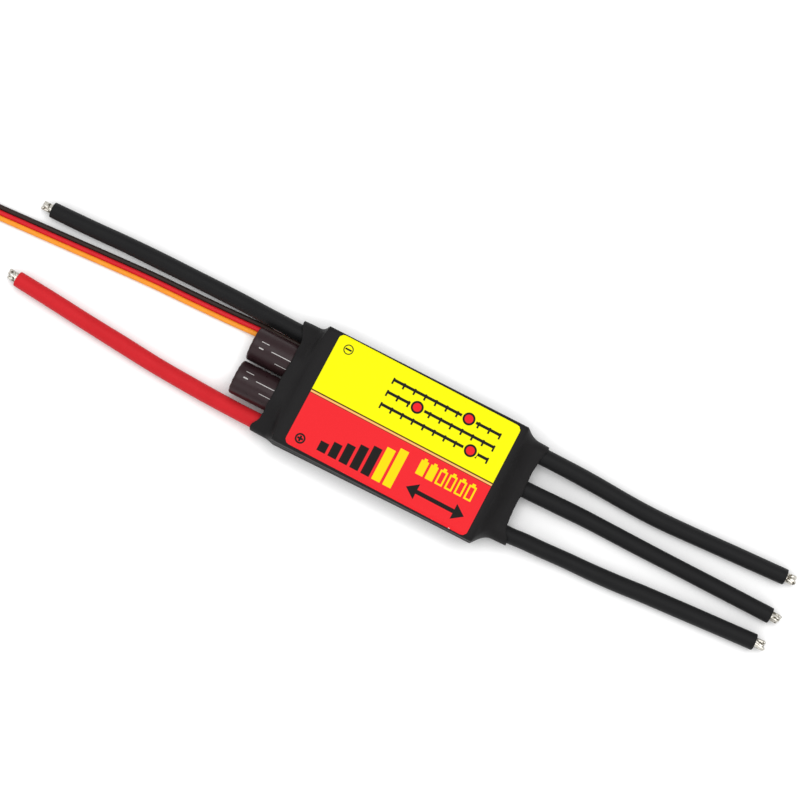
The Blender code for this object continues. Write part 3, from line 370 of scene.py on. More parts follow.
def lengths_along(line):
    """Length along a line at each of its points."""
    return np.concatenate([[0.0], np.cumsum(np.linalg.norm(np.diff(line, axis=0), axis=1))])


def smooth_route(points, spacing):
    """Evenly spaced places on a smooth curve through a route's own points."""
    points = np.array(points, float)
    gaps = np.linalg.norm(np.diff(points[:, :3], axis=0), axis=1)
    marks = lengths_along(points[:, :3])
    slopes = np.empty_like(points)
    slopes[1:-1] = (points[2:] - points[:-2]) / (marks[2:] - marks[:-2])[:, None]
    slopes[0] = (points[1] - points[0]) / gaps[0]
    slopes[-1] = (points[-1] - points[-2]) / gaps[-1]
    where = np.linspace(0.0, marks[-1], max(2, round(marks[-1] / spacing)) + 1)
    span = np.clip(np.searchsorted(marks, where, side="right") - 1, 0, len(gaps) - 1)
    width = gaps[span][:, None]
    t = ((where - marks[span]) / gaps[span])[:, None]
    return (
        points[span] * (2 * t**3 - 3 * t**2 + 1)
        + slopes[span] * width * (t**3 - 2 * t**2 + t)
        + points[span + 1] * (3 * t**2 - 2 * t**3)
        + slopes[span + 1] * width * (t**3 - t**2)
    )


def rings_along(line, wide, tall, sides):
    """Oval rings of half widths and half heights square to a line, each starting underneath."""
    ahead = np.gradient(line, axis=0)
    ahead /= np.linalg.norm(ahead, axis=1)[:, None]
    across = np.cross(ahead, (0.0, 0.0, 1.0))
    across /= np.linalg.norm(across, axis=1)[:, None]
    up = np.cross(across, ahead)
    angles = np.arange(sides) / sides * math.tau - math.pi / 2
    wide, tall = np.broadcast_to(wide, len(line)), np.broadcast_to(tall, len(line))
    level, upright = np.cos(angles)[:, None], np.sin(angles)[:, None]
    return [
        line[i] + level * across[i] * wide[i] + upright * up[i] * tall[i] for i in range(len(line))
    ]


def silicone(name, dark, light):
    """Matt extruded silicone: faint draw lines along the lead and a little dust in its sheen."""
    sheen = {"Sheen Weight": 0.03, "Sheen Roughness": 0.5}
    made = Finish(name, {"IOR": 1.41, "Specular IOR Level": 0.17, **sheen})
    wrap = made.wrap()
    cloud = made.noise(wrap, 1.0, 4.0, (0.12, 3.0, 1.0))
    lines = made.noise(wrap, 1.0, 2.0, (0.05, 60.0, 1.0))
    dust = made.noise(made.spot(), 7.0, 3.0)
    made.tint(cloud, dark, light)
    made.roughen(made.weighed(lines, 0.5, dust, 0.5), 0.46, 0.62)
    made.relief(made.weighed(lines, 0.6, dust, 0.4), 0.025)
    return made


black_silicone = silicone("black silicone", (0.0050, 0.0050, 0.0056), (0.0095, 0.0095, 0.0100))
red_silicone = silicone("red silicone", (0.56, 0.012, 0.018), (0.68, 0.020, 0.028))

tinned_strands = Finish("tinned copper strands", {"Metallic": 1.0})
spot = tinned_strands.spot()
flux = tinned_strands.noise(spot, 1.4, 3.0)
tin = tinned_strands.blend(flux, (0.56, 0.55, 0.52), (0.44, 0.41, 0.35))
# Dark blotches at random over the tin: partly flux residue, partly painted shade standing in for
# the dark creases between the strands
residue_and_shade = tinned_strands.ranged(tinned_strands.noise(spot, 1.0, 1.5), 0.52, 0.62, 0.0, 1.0)
tinned_strands.tint(residue_and_shade, tin, (0.09, 0.08, 0.06))
tinned_strands.roughen(flux, 0.20, 0.36)
tinned_strands.relief(tinned_strands.noise(spot, 1.6, 2.0), 0.01)

# The tip: strands set in a sunflower pattern, twisted along their length, parted a little at the
# cut end and run together with solder
strand_tree = bpy.data.node_groups.new("tinned tip", "GeometryNodeTree")
for label, kind in (
    ("Length", "Float"),
    ("Bundle radius", "Float"),
    ("Strand radius", "Float"),
    ("Strands", "Int"),
    ("Twist", "Float"),
    ("Parting", "Float"),
    ("Solder grain", "Float"),
    ("Seed", "Int"),
):
    strand_tree.interface.new_socket(label, in_out="INPUT", socket_type="NodeSocket" + kind)
strand_tree.interface.new_socket("Geometry", in_out="OUTPUT", socket_type="NodeSocketGeometry")


def tip_node(kind, inputs=None, **choices):
    return add_node(strand_tree, "GeometryNode" + kind, inputs, **choices)


def work(operation, *terms):
    return add_node(strand_tree, "ShaderNodeMath", dict(enumerate(terms)), operation=operation)


def combined(*axes):
    return add_node(strand_tree, "ShaderNodeCombineXYZ", dict(enumerate(axes)))


def spun(vector, turn):
    inputs = {"Vector": vector, "Axis": (0.0, 0.0, 1.0), "Angle": turn}
    return add_node(strand_tree, "ShaderNodeVectorRotate", inputs)


given = add_node(strand_tree, "NodeGroupInput", output=None).outputs
order = tip_node("InputIndex")
golden_turn = math.pi * (3 - math.sqrt(5))
bearing = work("MULTIPLY", order, golden_turn)
from_middle = work("SQRT", work("DIVIDE", work("ADD", order, 0.5), given["Strands"]))
from_middle = work("MULTIPLY", from_middle, given["Bundle radius"])
place = combined(*[work("MULTIPLY", from_middle, work(way, bearing)) for way in ("COSINE", "SINE")])
cuts = tip_node("Points", {"Count": given["Strands"], "Position": place})
cut_range = {2: 0.86, 3: 1.0, "Seed": given["Seed"]}
cut_length = add_node(strand_tree, "FunctionNodeRandomValue", cut_range, 1, data_type="FLOAT")
strand = tip_node("CurvePrimitiveLine", {"End": combined(0.0, 0.0, given["Length"])})
strand = tip_node("ResampleCurve", {"Curve": strand, "Count": 22})
strand_scale = combined(1.0, 1.0, cut_length)
bundle = tip_node("InstanceOnPoints", {"Points": cuts, "Instance": strand, "Scale": strand_scale})
bundle = tip_node("RealizeInstances", {0: bundle})
at = tip_node("InputPosition")
at_axes = add_node(strand_tree, "ShaderNodeSeparateXYZ", {0: at}, None).outputs
angle = work("MULTIPLY", at_axes[2], given["Twist"])
share = work("POWER", work("DIVIDE", at_axes[2], given["Length"]), 2.0)
parted = work("MULTIPLY", work("SIGN", at_axes[0]), work("MULTIPLY", share, given["Parting"]))
moved = {"Position": spun(at, angle), "Offset": spun(combined(parted), angle)}
bundle = tip_node("SetPosition", {"Geometry": bundle, **moved})
beads = tip_node("CurveToPoints", {"Curve": bundle, "Count": 44})
solder = tip_node(
    "PointsToVolume",
    {"Points": beads, "Voxel Size": given["Solder grain"], "Radius": given["Strand radius"]},
    resolution_mode="VOXEL_SIZE",
)
solder = tip_node("VolumeToMesh", {"Volume": solder, "Threshold": 0.1}, resolution_mode="GRID")
lumpy = {"Value": tip_node("InputPosition"), "Iterations": 6}
flowed = tip_node("BlurAttribute", lumpy, data_type="FLOAT_VECTOR")
solder = tip_node("SetPosition", {"Geometry": solder, "Position": flowed})
solder = tip_node("SetShadeSmooth", {"Geometry": solder})
solder = tip_node("RealizeInstances", {0: solder})
solder = tip_node("SetMaterial", {"Geometry": solder, "Material": tinned_strands.material})
add_node(strand_tree, "NodeGroupOutput", {"Geometry": solder}, None)


def tinned_tip(name, settings, base, heading):
    """A tip grown by the tree and set at the end of its lead, as a plain mesh."""
    grower = bpy.data.objects.new(name, bpy.data.meshes.new(name))
    bpy.context.scene.collection.objects.link(grower)
    modifier = grower.modifiers.new("tip", "NODES")
    modifier.node_group = strand_tree
    for item in strand_tree.interface.items_tree:
        if item.in_out == "INPUT":
            modifier[item.identifier] = settings[item.name]
    evaluated = grower.evaluated_get(bpy.context.evaluated_depsgraph_get())
    grown = bpy.data.meshes.new_from_object(evaluated)
    bpy.data.objects.remove(grower)
    turn = Vector((0.0, 0.0, 1.0)).rotation_difference(heading).to_matrix().to_4x4()
    grown.transform(Matrix.Translation(base) @ turn)
    return grown


lead_sides = 40
lead_tall, uneven_share, uneven_pitch = 1.02, 0.006, 0.31
lead_diameter = 0.0045
bore_diameter = 0.0029
core_diameter = 0.0024
tip_length, tip_hidden = 0.0067, 0.0040
solder_reach = 0.0050
block_end = 0.0320
board_edge = 0.0315
board_level = 0.0045
table_level = 0.00235
# How far a lead has sunk from the board to the table, by its distance from the block
straight_out = 0.0090
sink_steps = (
    (0.0, 1.0), (straight_out, 1.0), (0.0140, 0.82), (0.0200, 0.40), (0.0260, 0.08), (0.0320, 0.0)
)
# The knife leaves a slightly rounded outer edge and a bore a little wider than the strands: each
# step back from the cut, with its share of the lead's radius
bore_share = bore_diameter / lead_diameter + 0.04
cut_edge = ((0.00022, 1.0), (0.00008, 0.973), (0.0, 0.91), (0.0, bore_share))
# Each lead: its end of the block, its place on the board, its length, how much wider than high the
# soft silicone lies at its start, middle and end, how far its tip is parted, and its course over
# the table as distances out from the block and sideways from that place
leads = {
    "negative": (
        -1, 0.01325, 0.0890, (1.10, 1.12, 1.05), 0.00022,
        ((0.0120, 0.0001), (0.0200, 0.0003), (0.0280, 0.0005), (0.0400, 0.0005),
         (0.0520, 0.0004), (0.0640, 0.0002), (0.0760, -0.0003), (0.0884, -0.0006)),
    ),
    "positive": (
        -1, -0.01505, 0.0887, (1.10, 1.11, 1.045), 0.00046,
        ((0.0120, 0.0000), (0.0200, 0.0002), (0.0280, 0.0005), (0.0400, 0.0011),
         (0.0520, 0.0021), (0.0640, 0.0031), (0.0760, 0.0042), (0.0879, 0.0052)),
    ),
    "motor_a": (
        1, 0.0133, 0.0847, (1.12, 1.085, 1.045), 0.00044,
        ((0.0120, 0.0000), (0.0180, 0.0000), (0.0260, -0.0002), (0.0340, -0.0006),
         (0.0420, -0.0008), (0.0500, -0.0006), (0.0660, 0.0002), (0.0840, 0.0011)),
    ),
    "motor_b": (
        1, 0.0026, 0.0856, (1.10, 1.05, 1.05), 0.00034,
        ((0.0120, 0.0001), (0.0180, 0.0003), (0.0260, 0.0005), (0.0420, 0.0003),
         (0.0580, 0.0002), (0.0740, 0.0001), (0.0850, 0.0000)),
    ),
    "motor_c": (
        1, -0.0111, 0.0851, (1.06, 1.12, 1.085), 0.00042,
        ((0.0120, 0.0003), (0.0180, 0.0006), (0.0260, 0.0011), (0.0340, 0.0014),
         (0.0420, 0.0019), (0.0500, 0.0026), (0.0660, 0.0037), (0.0843, 0.0049)),
    ),
}


def eased(t):
    """0 to 1 with level ends."""
    t = np.clip(t, 0.0, 1.0)
    return t * t * (3 - 2 * t)


def lead_level(out):
    """Height of a lead's middle at a distance from the block."""
    for (start, before), (end, after) in zip(sink_steps[:-1], sink_steps[1:]):
        if out < end:
            share = before + (after - before) * eased((out - start) / (end - start))
            return table_level + (board_level - table_level) * float(share)
    return table_level


for seed, (name, lead) in enumerate(leads.items()):
    side, across, length, fullness, parting, course = lead
    points = [(side * board_edge, across, board_level)]
    for out, sideways in ((0.0, 0.0), (straight_out, 0.0), *course):
        points.append((side * (block_end + out), across + sideways, lead_level(out)))
    line = smooth_route(points, 0.0012)
    along = lengths_along(line) * 1000
    uneven = 1 + uneven_share * np.sin(np.arange(len(line)) * uneven_pitch + seed)
    share = np.linspace(0.0, 1.0, len(line))
    full = np.interp(share, (0.0, 0.25, 0.6, 1.0), (fullness[0], *fullness))
    wide, tall = lead_diameter / 2 * full * uneven, lead_diameter / 2 * lead_tall * uneven
    outer = rings_along(line, wide, tall, lead_sides)
    heading = (line[-1] - line[-2]) / np.linalg.norm(line[-1] - line[-2])
    edge_rings = []
    for back, radius in cut_edge:
        edge_rings.append(line[-1] - heading * back + (outer[-1] - line[-1]) * radius)
    inner = rings_along(line, bore_diameter / 2, bore_diameter / 2, lead_sides)
    rings = outer[:-1] + edge_rings + inner[::-1]
    lengths = [*along[:-1], *([along[-1]] * len(edge_rings)), *along[::-1]]
    jacket = skin(f"lead_{name}_silicone", rings, lengths, looped=True, crease=55)
    is_red = name == "positive"
    insulation = set_piece(
        f"lead_{name}_silicone",
        jacket,
        red_silicone if is_red else black_silicone,
        "red" if is_red else "black",
        f"lead_{name}_insulation",
    )
    # Twisted tip, and the untinned core behind it as far as the board
    tip_settings = {
        "Length": tip_length,
        "Bundle radius": 0.00088,
        "Strand radius": 0.00056,
        "Strands": 12,
        "Twist": 120.0 if seed % 2 else 170.0,
        "Parting": parting,
        "Solder grain": 0.00009,
        "Seed": seed + 3,
    }
    tip_base = Vector(line[-1] - heading * tip_hidden)
    tip = tinned_tip(f"lead_{name}_tip", tip_settings, tip_base, Vector(heading))
    hidden = np.array([line[0] - (side * solder_reach, 0.0, 0.0), *line[:-3]])
    core_rings = rings_along(hidden, core_diameter / 2, core_diameter / 2, 20)
    core = skin("core", core_rings, [0.0] * len(hidden))
    joined = bmesh.new()
    joined.from_mesh(tip)
    joined.from_mesh(core)
    joined.to_mesh(tip)
    joined.free()
    bpy.data.meshes.remove(core)
    strands = set_piece(f"lead_{name}_strands", tip, tinned_strands, "tin", f"lead_{name}_core")

# Signal lead
# A flat ribbon of three bonded plastic-covered wires for ground, power and pulse, soldered to the
# control board. It runs out between a capacitor and the negative lead and is put away as a hank.


def wire_plastic(name, dark, light):
    """Smooth extruded wire covering, with faint draw lines."""
    made = Finish(name, {"IOR": 1.5, "Specular IOR Level": 0.16})
    wrap = made.wrap()
    cloud = made.noise(wrap, 1.0, 3.0, (0.25, 2.0, 1.0))
    lines = made.noise(wrap, 1.0, 2.0, (0.1, 24.0, 1.0))
    made.tint(cloud, dark, light)
    made.roughen(lines, 0.34, 0.48)
    made.relief(lines, 0.012)
    return made


wire_finishes = {
    "ground": wire_plastic("dark brown wire plastic", (0.020, 0.011, 0.009), (0.034, 0.020, 0.016)),
    "power": wire_plastic("red wire plastic", (0.60, 0.010, 0.018), (0.74, 0.020, 0.032)),
    "pulse": wire_plastic("orange wire plastic", (0.92, 0.28, 0.020), (1.00, 0.40, 0.040)),
}
wire_order = {"ground": 1, "power": 0, "pulse": -1}
wire_diameter = 0.0015
ribbon_pitch = 0.0015
wire_rest = 0.00075
pad_y = 0.01012
neck_y = 0.00941
neck_z = 0.00133
# The ribbon's middle from its pads to the film's edge and over the table, up to the hank
ribbon_course = [
    (-0.0190, pad_y, 0.00275),
    (-0.0235, pad_y, 0.00275),
    (-0.0310, neck_y, neck_z),
    (-0.0360, neck_y, neck_z),
    (-0.0410, neck_y, neck_z),
    (-0.0455, 0.0093, 0.0011),
]
for x, y in (
    (-0.0500, 0.0091), (-0.0600, 0.0086), (-0.0720, 0.0082), (-0.0840, 0.0079),
    (-0.0960, 0.0073), (-0.1080, 0.0066), (-0.1200, 0.0059), (-0.1340, 0.0051),
    (-0.1460, 0.0045), (-0.1540, 0.0043), (-0.1590, 0.0043),
):
    ribbon_course.append((x, y, wire_rest))
twist_from, twist_to = -0.1350, -0.1540
on_edge = math.pi / 2
# Between capacitor and lead the ribbon is turned up and bends round the sleeve
tuck_turn, tuck_bend = math.radians(56.4), math.radians(7.3)
tuck_from, tuck_in = -0.0520, 0.0065
tuck_to, tuck_out = -0.0240, 0.0080


def tucked(x):
    """Share of the tuck between capacitor and lead, by the place along the object."""
    return eased((x - tuck_from) / tuck_in) * eased((tuck_to - x) / tuck_out)


# Places along the ribbon: its middle, how far it is turned on edge, and the spacing of its wires
ribbon = []
for x, y, z in smooth_route(ribbon_course, 0.0012):
    turned_up = on_edge * float(eased((twist_from - x) / (twist_from - twist_to)))
    turned_up += tuck_turn * float(tucked(x))
    ribbon.append((x, y, z + ribbon_pitch * math.sin(turned_up), turned_up, ribbon_pitch))

# Hank: four runs drawn in at the waist, with round folds, then a tail that lies flat to the plug
hank_half, fold_radius, run_step = 0.0135, 0.0040, 0.0019
tie_half, tie_thickness, tie_slack = 0.0015, 0.0006, 0.0003
tied, lift_run = tie_half + tie_slack, 0.0090
entry_step = 0.0016
entry_x, entry_y = ribbon_course[-1][0] - entry_step, ribbon_course[-1][1]
hank_x = entry_x - fold_radius - hank_half
hank_y = entry_y - fold_radius - run_step
near_end, far_end = run_step + fold_radius, run_step / 2 + 2 * fold_radius
near_ends = [near_end, fold_radius, -fold_radius, -near_end]
far_ends = [far_end, run_step / 2, -run_step / 2, -far_end]
edge_z = wire_rest + ribbon_pitch
ribbon.append((entry_x, entry_y, edge_z, on_edge, ribbon_pitch))
reaches = [(hank_half - tied) * share for share in (1.0, 0.7, 0.4, 0.0)]
stations = [tied + reach for reach in reaches] + [-tied - reach for reach in reaches[::-1]]
for run in range(4):
    waist = (1.5 - run) * run_step
    way = 1 if run % 2 == 0 else -1
    for station in stations:
        run_x = way * station
        loose = abs(run_x) - tied
        end = near_ends[run] if run_x > 0 else far_ends[run]
        run_y = waist + (end - waist) * float(eased(loose / (hank_half - tied)))
        lift = (tie_thickness + tie_slack) * float(eased(1 - loose / lift_run))
        ribbon.append((hank_x + run_x, hank_y + run_y, edge_z + lift, on_edge, ribbon_pitch))
    fold_y = hank_y + (far_ends if way > 0 else near_ends)[run]
    for step in range(1, 6):
        angle = math.pi * step / 6
        fold_x = hank_x - way * (hank_half + fold_radius * math.sin(angle))
        drop = fold_radius * (1 - math.cos(angle))
        ribbon.append((fold_x, fold_y - drop, edge_z, on_edge, ribbon_pitch))
tail_x, tail_y = hank_x + hank_half, hank_y + near_ends[-1] - 2 * fold_radius
tail_length, spread_length, crimp_depth = 0.0150, 0.0060, 0.0027
for step in range(6):
    turned_up = on_edge * (1 - float(eased(step / 5)))
    tail_z = wire_rest + ribbon_pitch * math.sin(turned_up)
    ribbon.append((tail_x - tail_length * step / 5, tail_y, tail_z, turned_up, ribbon_pitch))
plug_pitch, plug_height = 0.00254, 0.0026
plug_x = tail_x - tail_length - spread_length
for step in range(1, 4):
    share = float(eased(step / 3))
    rise = (plug_height / 2 - wire_rest) * share
    spread = ribbon_pitch + (plug_pitch - ribbon_pitch) * share
    ribbon.append((plug_x + spread_length * (1 - step / 3), tail_y, wire_rest + rise, 0.0, spread))
ribbon.append((plug_x - crimp_depth, tail_y, plug_height / 2, 0.0, plug_pitch))

middle = smooth_route(ribbon, 0.0009)
ahead = np.gradient(middle[:, :2], axis=0)
ahead /= np.linalg.norm(ahead, axis=1)[:, None]
signal_cords = {}
for wire, place in wire_order.items():
    turned = middle[:, 3] + place * tuck_bend * tucked(middle[:, 0])
    flat = place * middle[:, 4] * np.cos(turned)
    upright = place * middle[:, 4] * np.sin(turned)
    line = middle[:, :3] + np.stack([ahead[:, 1] * flat, -ahead[:, 0] * flat, upright], 1)
    rings = rings_along(line, wire_diameter / 2, wire_diameter / 2, 16)
    covering = skin(f"signal_{wire}_cord", rings, lengths_along(line) * 1000, crease=60)
    signal_cords[wire] = set_piece(
        f"signal_{wire}_cord",
        covering,
        wire_finishes[wire],
        wire,
        f"signal_{wire}_wire",
        f"signal_{wire}_hank",
    )

# Heat-shrink film
# A wide sleeve of black plastic film, slipped over the stack and shrunk with hot air. It lies tight
# on the plate and the boards' edges, sinks in where nothing holds it, and closes round leads and
# cans.
film_plastic = Finish("black heat-shrink film", {"IOR": 1.5, "Specular IOR Level": 0.06})
spot = film_plastic.spot()
_, film_y, film_z = film_plastic.axes(spot)
cloud = film_plastic.noise(spot, 0.16, 3.0)
peel = film_plastic.noise(spot, 0.9, 3.0)
dust = film_plastic.noise(spot, 9.0, 2.0)
film_plastic.tint(cloud, (0.0130, 0.0124, 0.0128), (0.0172, 0.0166, 0.0170))
film_plastic.roughen(film_plastic.weighed(cloud, 0.6, dust, 0.4), 0.44, 0.60)
# The sleeve was stored flat and keeps a fold along both sides
fold_level, fold_slope, side_face = 8.6, 3.0, 17.4
fold = outside(film_plastic, film_z, fold_level, 0.0)
fold = film_plastic.math("MULTIPLY_ADD", fold, -fold_slope, 1.0, clamp=True)
on_sides = film_plastic.math("GREATER_THAN", outside(film_plastic, film_y, 0.0, side_face), 0.0)
fold = film_plastic.math("MULTIPLY", fold, on_sides)
skin_relief = film_plastic.weighed(peel, 0.8, dust, 0.12)
film_plastic.relief(film_plastic.math("ADD", skin_relief, fold), 0.06)

film_wall, film_gap, plate_edge = 0.0005, 0.0003, 0.0004
directions = 96
cell = 0.0007
plate_low, plate_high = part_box("cooling_plate")
stack_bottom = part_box("control_board")[0].z
stack = [
    (side * (plate_high.y - plate_edge), z, plate_edge)
    for side in (1, -1)
    for z in (plate_high.z - plate_edge, stack_bottom + plate_edge)
]
# What leaves each end, as circles of (y, z, radius): the negative lead has a little room beside it
lead_reach, lead_room = lead_diameter / 2 * 1.10, 0.0006
ribbon_level, ribbon_reach = 0.00145, 0.00065
battery_end = [(leads[name][1], board_level, lead_reach) for name in ("negative", "positive")]
battery_end.append((leads["negative"][1] + lead_room, board_level, lead_reach))
battery_end.append((pad_y + ribbon_pitch, ribbon_level, ribbon_reach))
for number in "12":
    low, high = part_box(f"capacitor_{number}_jacket")
    battery_end.append(((low.y + high.y) / 2, (low.z + high.z) / 2, (high.z - low.z) / 2))
motor_end = [(leads[f"motor_{phase}"][1], board_level, lead_reach) for phase in "abc"]

film_angles = (np.arange(directions) + 0.5) * math.tau / directions
outward = np.stack([np.cos(film_angles), np.sin(film_angles)], 1)


def taut(contents, stand_off):
    """Film drawn tight round circles: a point for each outward direction."""
    circles = np.array(contents)
    furthest = circles[(outward @ circles[:, :2].T + circles[:, 2]).argmax(1)]
    return furthest[:, :2] + outward * (furthest[:, 2:] + stand_off)


sections = [taut(contents, film_gap + film_wall) for contents in (stack, battery_end, motor_end)]
runs = np.max([np.linalg.norm(np.roll(s, -1, 0) - s, axis=1) for s in sections], axis=0)
cells = np.maximum(1, np.round(runs / cell).astype(int))


def divided(points):
    """The same points with the long flat stretches between them divided into cells."""
    after = np.roll(points, -1, 0)
    spans = zip(points, after, cells)
    return np.concatenate([p + (q - p) * (np.arange(n) / n)[:, None] for p, q, n in spans])


film_out = divided(outward)
film_out /= np.linalg.norm(film_out, axis=1)[:, None]


def settled(contents, stand_off, depth):
    """Tight film that sinks in between the things that hold it."""
    ring = divided(taut(contents, stand_off))
    circles = np.array(contents)
    apart = np.linalg.norm(ring[:, None] - circles[None, :, :2], axis=2)
    clear = np.maximum((apart - circles[:, 2] - stand_off).min(1), 0.0)
    return ring - film_out * (depth * (1 - np.exp(-0.4 * clear / depth)))[:, None]


def hollow(z, low, high, depth):
    """Depth of the film's hollow between two edges that hold it."""
    share = np.clip((z - low) / (high - low), 0.0, 1.0)
    return depth * np.sin(math.pi * share) ** 2


ripple_phase = np.random.default_rng(7).uniform(0.0, math.tau, 6)


def wander(values, pitch, start):
    """A slow, smooth wander between -1 and 1."""
    slow = np.sin(values / pitch + ripple_phase[start])
    return 0.6 * slow + 0.4 * np.sin(values / pitch * 2.3 + ripple_phase[start + 1])


power_low, power_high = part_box("power_board")
upper_hollow, lower_hollow, bottom_hold = 0.00022, 0.00045, 0.0006
# One side of the sleeve is slack low down, and the more so towards the battery end
slack_most, slack_start, slack_run = 0.0006, 0.016, 0.048
slack_top, slack_fade = 0.0105, 0.006


def on_block(x, stand_off):
    """Section of the film over the stack, with its sides sunk in between the boards' edges."""
    ring = divided(taut(stack, stand_off))
    y, z = ring[:, 0], ring[:, 1]
    sideways = np.clip((np.abs(film_out[:, 0]) - 0.9) / 0.1, 0.0, 1.0)
    sunk = hollow(z, power_high.z, plate_low.z, upper_hollow)
    sunk += hollow(z, stack_bottom + bottom_hold, power_low.z, lower_hollow)
    sunk *= sideways * (1 + 0.3 * wander(x + 0.1 * y, 0.006, 0))
    slack = slack_most * np.clip((slack_start - x) / slack_run, 0.0, 1.0) * (y < 0)
    sunk -= slack * sideways * np.clip((slack_top - z) / slack_fade, 0.0, 1.0)
    return ring - film_out * sunk[:, None]


def lobe(y, place, reach, width):
    """The film's edge runs further out along the outer leads than between them."""
    return reach * np.exp(-(((y - place) / width) ** 2))


def battery_rim(y):
    outer = lobe(y, 0.0170, 0.0030, 0.0042)
    return 0.03755 - 0.028 * y + outer + lobe(y, -0.0174, 0.0016, 0.0028)


def motor_rim(y):
    return 0.0381 + lobe(y, 0.0162, 0.0012, 0.0032) + lobe(y, -0.0142, 0.0026, 0.0032)


def drawn_in(share):
    """How far the film has sunk from the stack to what leaves it: soon at first, then slowly."""
    return 1 - (1.05 - np.sqrt(share**2 + 0.0025)) ** 2.3


# Each end: its side, what leaves it, where its shoulder starts and how long that is, how deep the
# film sinks in between the contents, and where its cut rim lies
film_ends = (
    (-1, battery_end, block_end, 0.0030, 0.0007, battery_rim),
    (1, motor_end, plate_high.x, 0.0052, 0.0008, motor_rim),
)
rim_wave, rim_wave_pitch, rim_pinch = 0.00018, 0.0016, 0.00012


def film_sections(stand_off):
    """Sections of the film from the battery end to the motor end."""
    rows = []
    for side, contents, start, shoulder, depth, rim in film_ends:
        drawn = settled(contents, stand_off, depth)
        block = on_block(side * start, stand_off)
        half = []
        for share in np.linspace(0.0, 1.0, 15):
            ring = block + (drawn - block) * drawn_in(share)
            x = np.full(len(ring), side * (start + shoulder * share))
            half.append(np.column_stack([x, ring]))
        reach = rim(drawn[:, 0]) - start - shoulder
        reach += rim_wave * wander(drawn[:, 0] + 0.5 * drawn[:, 1], rim_wave_pitch, 2)
        for share in np.linspace(0.0, 1.0, 7)[1:]:
            ring = drawn - film_out * (rim_pinch * share**2)
            half.append(np.column_stack([side * (start + shoulder + reach * share), ring]))
        if side < 0:
            rows += half[::-1]
            for x in np.linspace(-block_end, plate_high.x, 42)[1:-1]:
                rows.append(np.column_stack([np.full(len(drawn), x), on_block(x, stand_off)]))
        else:
            rows += half
    return rows


film_outside = film_sections(film_gap + film_wall)
film_inside = film_sections(film_gap)
# The cut edges are a little rounded
edge_back, edge_out = np.array([0.00008, 0.0, 0.0]), np.array([0.00012, 0.0, 0.0])
for sheet in (film_outside, film_inside):
    sheet[0] = sheet[0] + edge_back
    sheet[-1] = sheet[-1] - edge_back
edge_motor = (film_outside[-1] + film_inside[-1]) / 2 + edge_out
edge_battery = (film_outside[0] + film_inside[0]) / 2 - edge_out
film_rings = [*film_outside, edge_motor, *film_inside[::-1], edge_battery]
film_along = [float(np.mean(ring[:, 0])) * 1000 for ring in film_rings]
film_mesh = skin("film_shrunk", film_rings, film_along, looped=True, crease=60)
set_piece("film_shrunk", film_mesh, film_plastic, "film", "heat_shrink_film")

# Label
# A printed vinyl sticker on the film's top face, yellow over red, with the battery's polarity
# marks. Its print is a plain one: setting sliders, level bars, cells and an arrow for both ways.
label_print = Finish("printed vinyl sticker", {"IOR": 1.48, "Specular IOR Level": 0.06})
reckon = label_print.math
# It is stuck on a little askew
label_slant = math.radians(-0.55)
spot = label_print.node(
    "VectorRotate", {"Vector": label_print.spot(), "Angle": -label_slant}, rotation_type="Z_AXIS"
)
px, py, _ = label_print.axes(spot)
ink_black, ink_yellow, ink_red = (0.010, 0.009, 0.008), (0.96, 0.72, 0.004), (0.86, 0.018, 0.024)


def aside(value, middle, half):
    return outside(label_print, value, middle, half)


def either(first, second):
    return reckon("MINIMUM", first, second)


def both(first, second):
    return reckon("MAXIMUM", first, second)


def oblong(x, y, half_x, half_y):
    return both(aside(px, x, half_x), aside(py, y, half_y))


def ring_mark(x, y, radius, stroke):
    dx, dy = reckon("SUBTRACT", px, x), reckon("SUBTRACT", py, y)
    square = reckon("ADD", reckon("MULTIPLY", dx, dx), reckon("MULTIPLY", dy, dy))
    return aside(reckon("SQRT", square), radius, stroke / 2)


def in_steps(start, step):
    """A place counted in the steps of a row, and how far it lies from its own step's middle."""
    count = reckon("DIVIDE", reckon("SUBTRACT", px, start), step)
    from_middle = reckon("SUBTRACT", reckon("FRACT", count), 0.5)
    return count, reckon("MULTIPLY", from_middle, step)


def printed(under, shape, ink):
    return inked(label_print, under, shape, ink, 0.05)


divide = -1.0
grain = label_print.noise(spot, 3.0, 3.0)
yellow = label_print.blend(grain, (0.94, 0.91, 0.0), (0.97, 0.94, 0.001))
red = label_print.blend(grain, (0.83, 0.018, 0.025), (0.90, 0.026, 0.034))
art = label_print.blend(reckon("GREATER_THAN", py, divide), red, yellow)
for offset, half, colour in (
    (-0.40, 0.14, (0.30, 0.030, 0.010)),
    (-0.02, 0.28, (0.98, 0.50, 0.16)),
    (0.44, 0.20, (0.09, 0.040, 0.004)),
):
    art = printed(art, aside(py, divide + offset, half), colour)

# Three setting sliders in the yellow field: a scale with ticks and a red knob on each
slider_x, slider_half, tick_step = 8.0, 17.0, 3.4
_, tick_across = in_steps(slider_x - slider_half - tick_step / 2, tick_step)
for slider_y, knob_x in ((12.6, 15.0), (8.7, 0.5), (4.8, 19.5)):
    ticks = both(aside(tick_across, 0.0, 0.28), aside(py, slider_y - 0.35, 0.95))
    scale = either(aside(py, slider_y, 0.42), ticks)
    art = printed(art, both(scale, aside(px, slider_x, slider_half + 0.25)), ink_black)
    for radius, ink in ((2.25, yellow), (1.85, ink_black), (1.25, ink_red)):
        art = printed(art, ring_mark(knob_x, slider_y, 0.0, 2 * radius), ink)

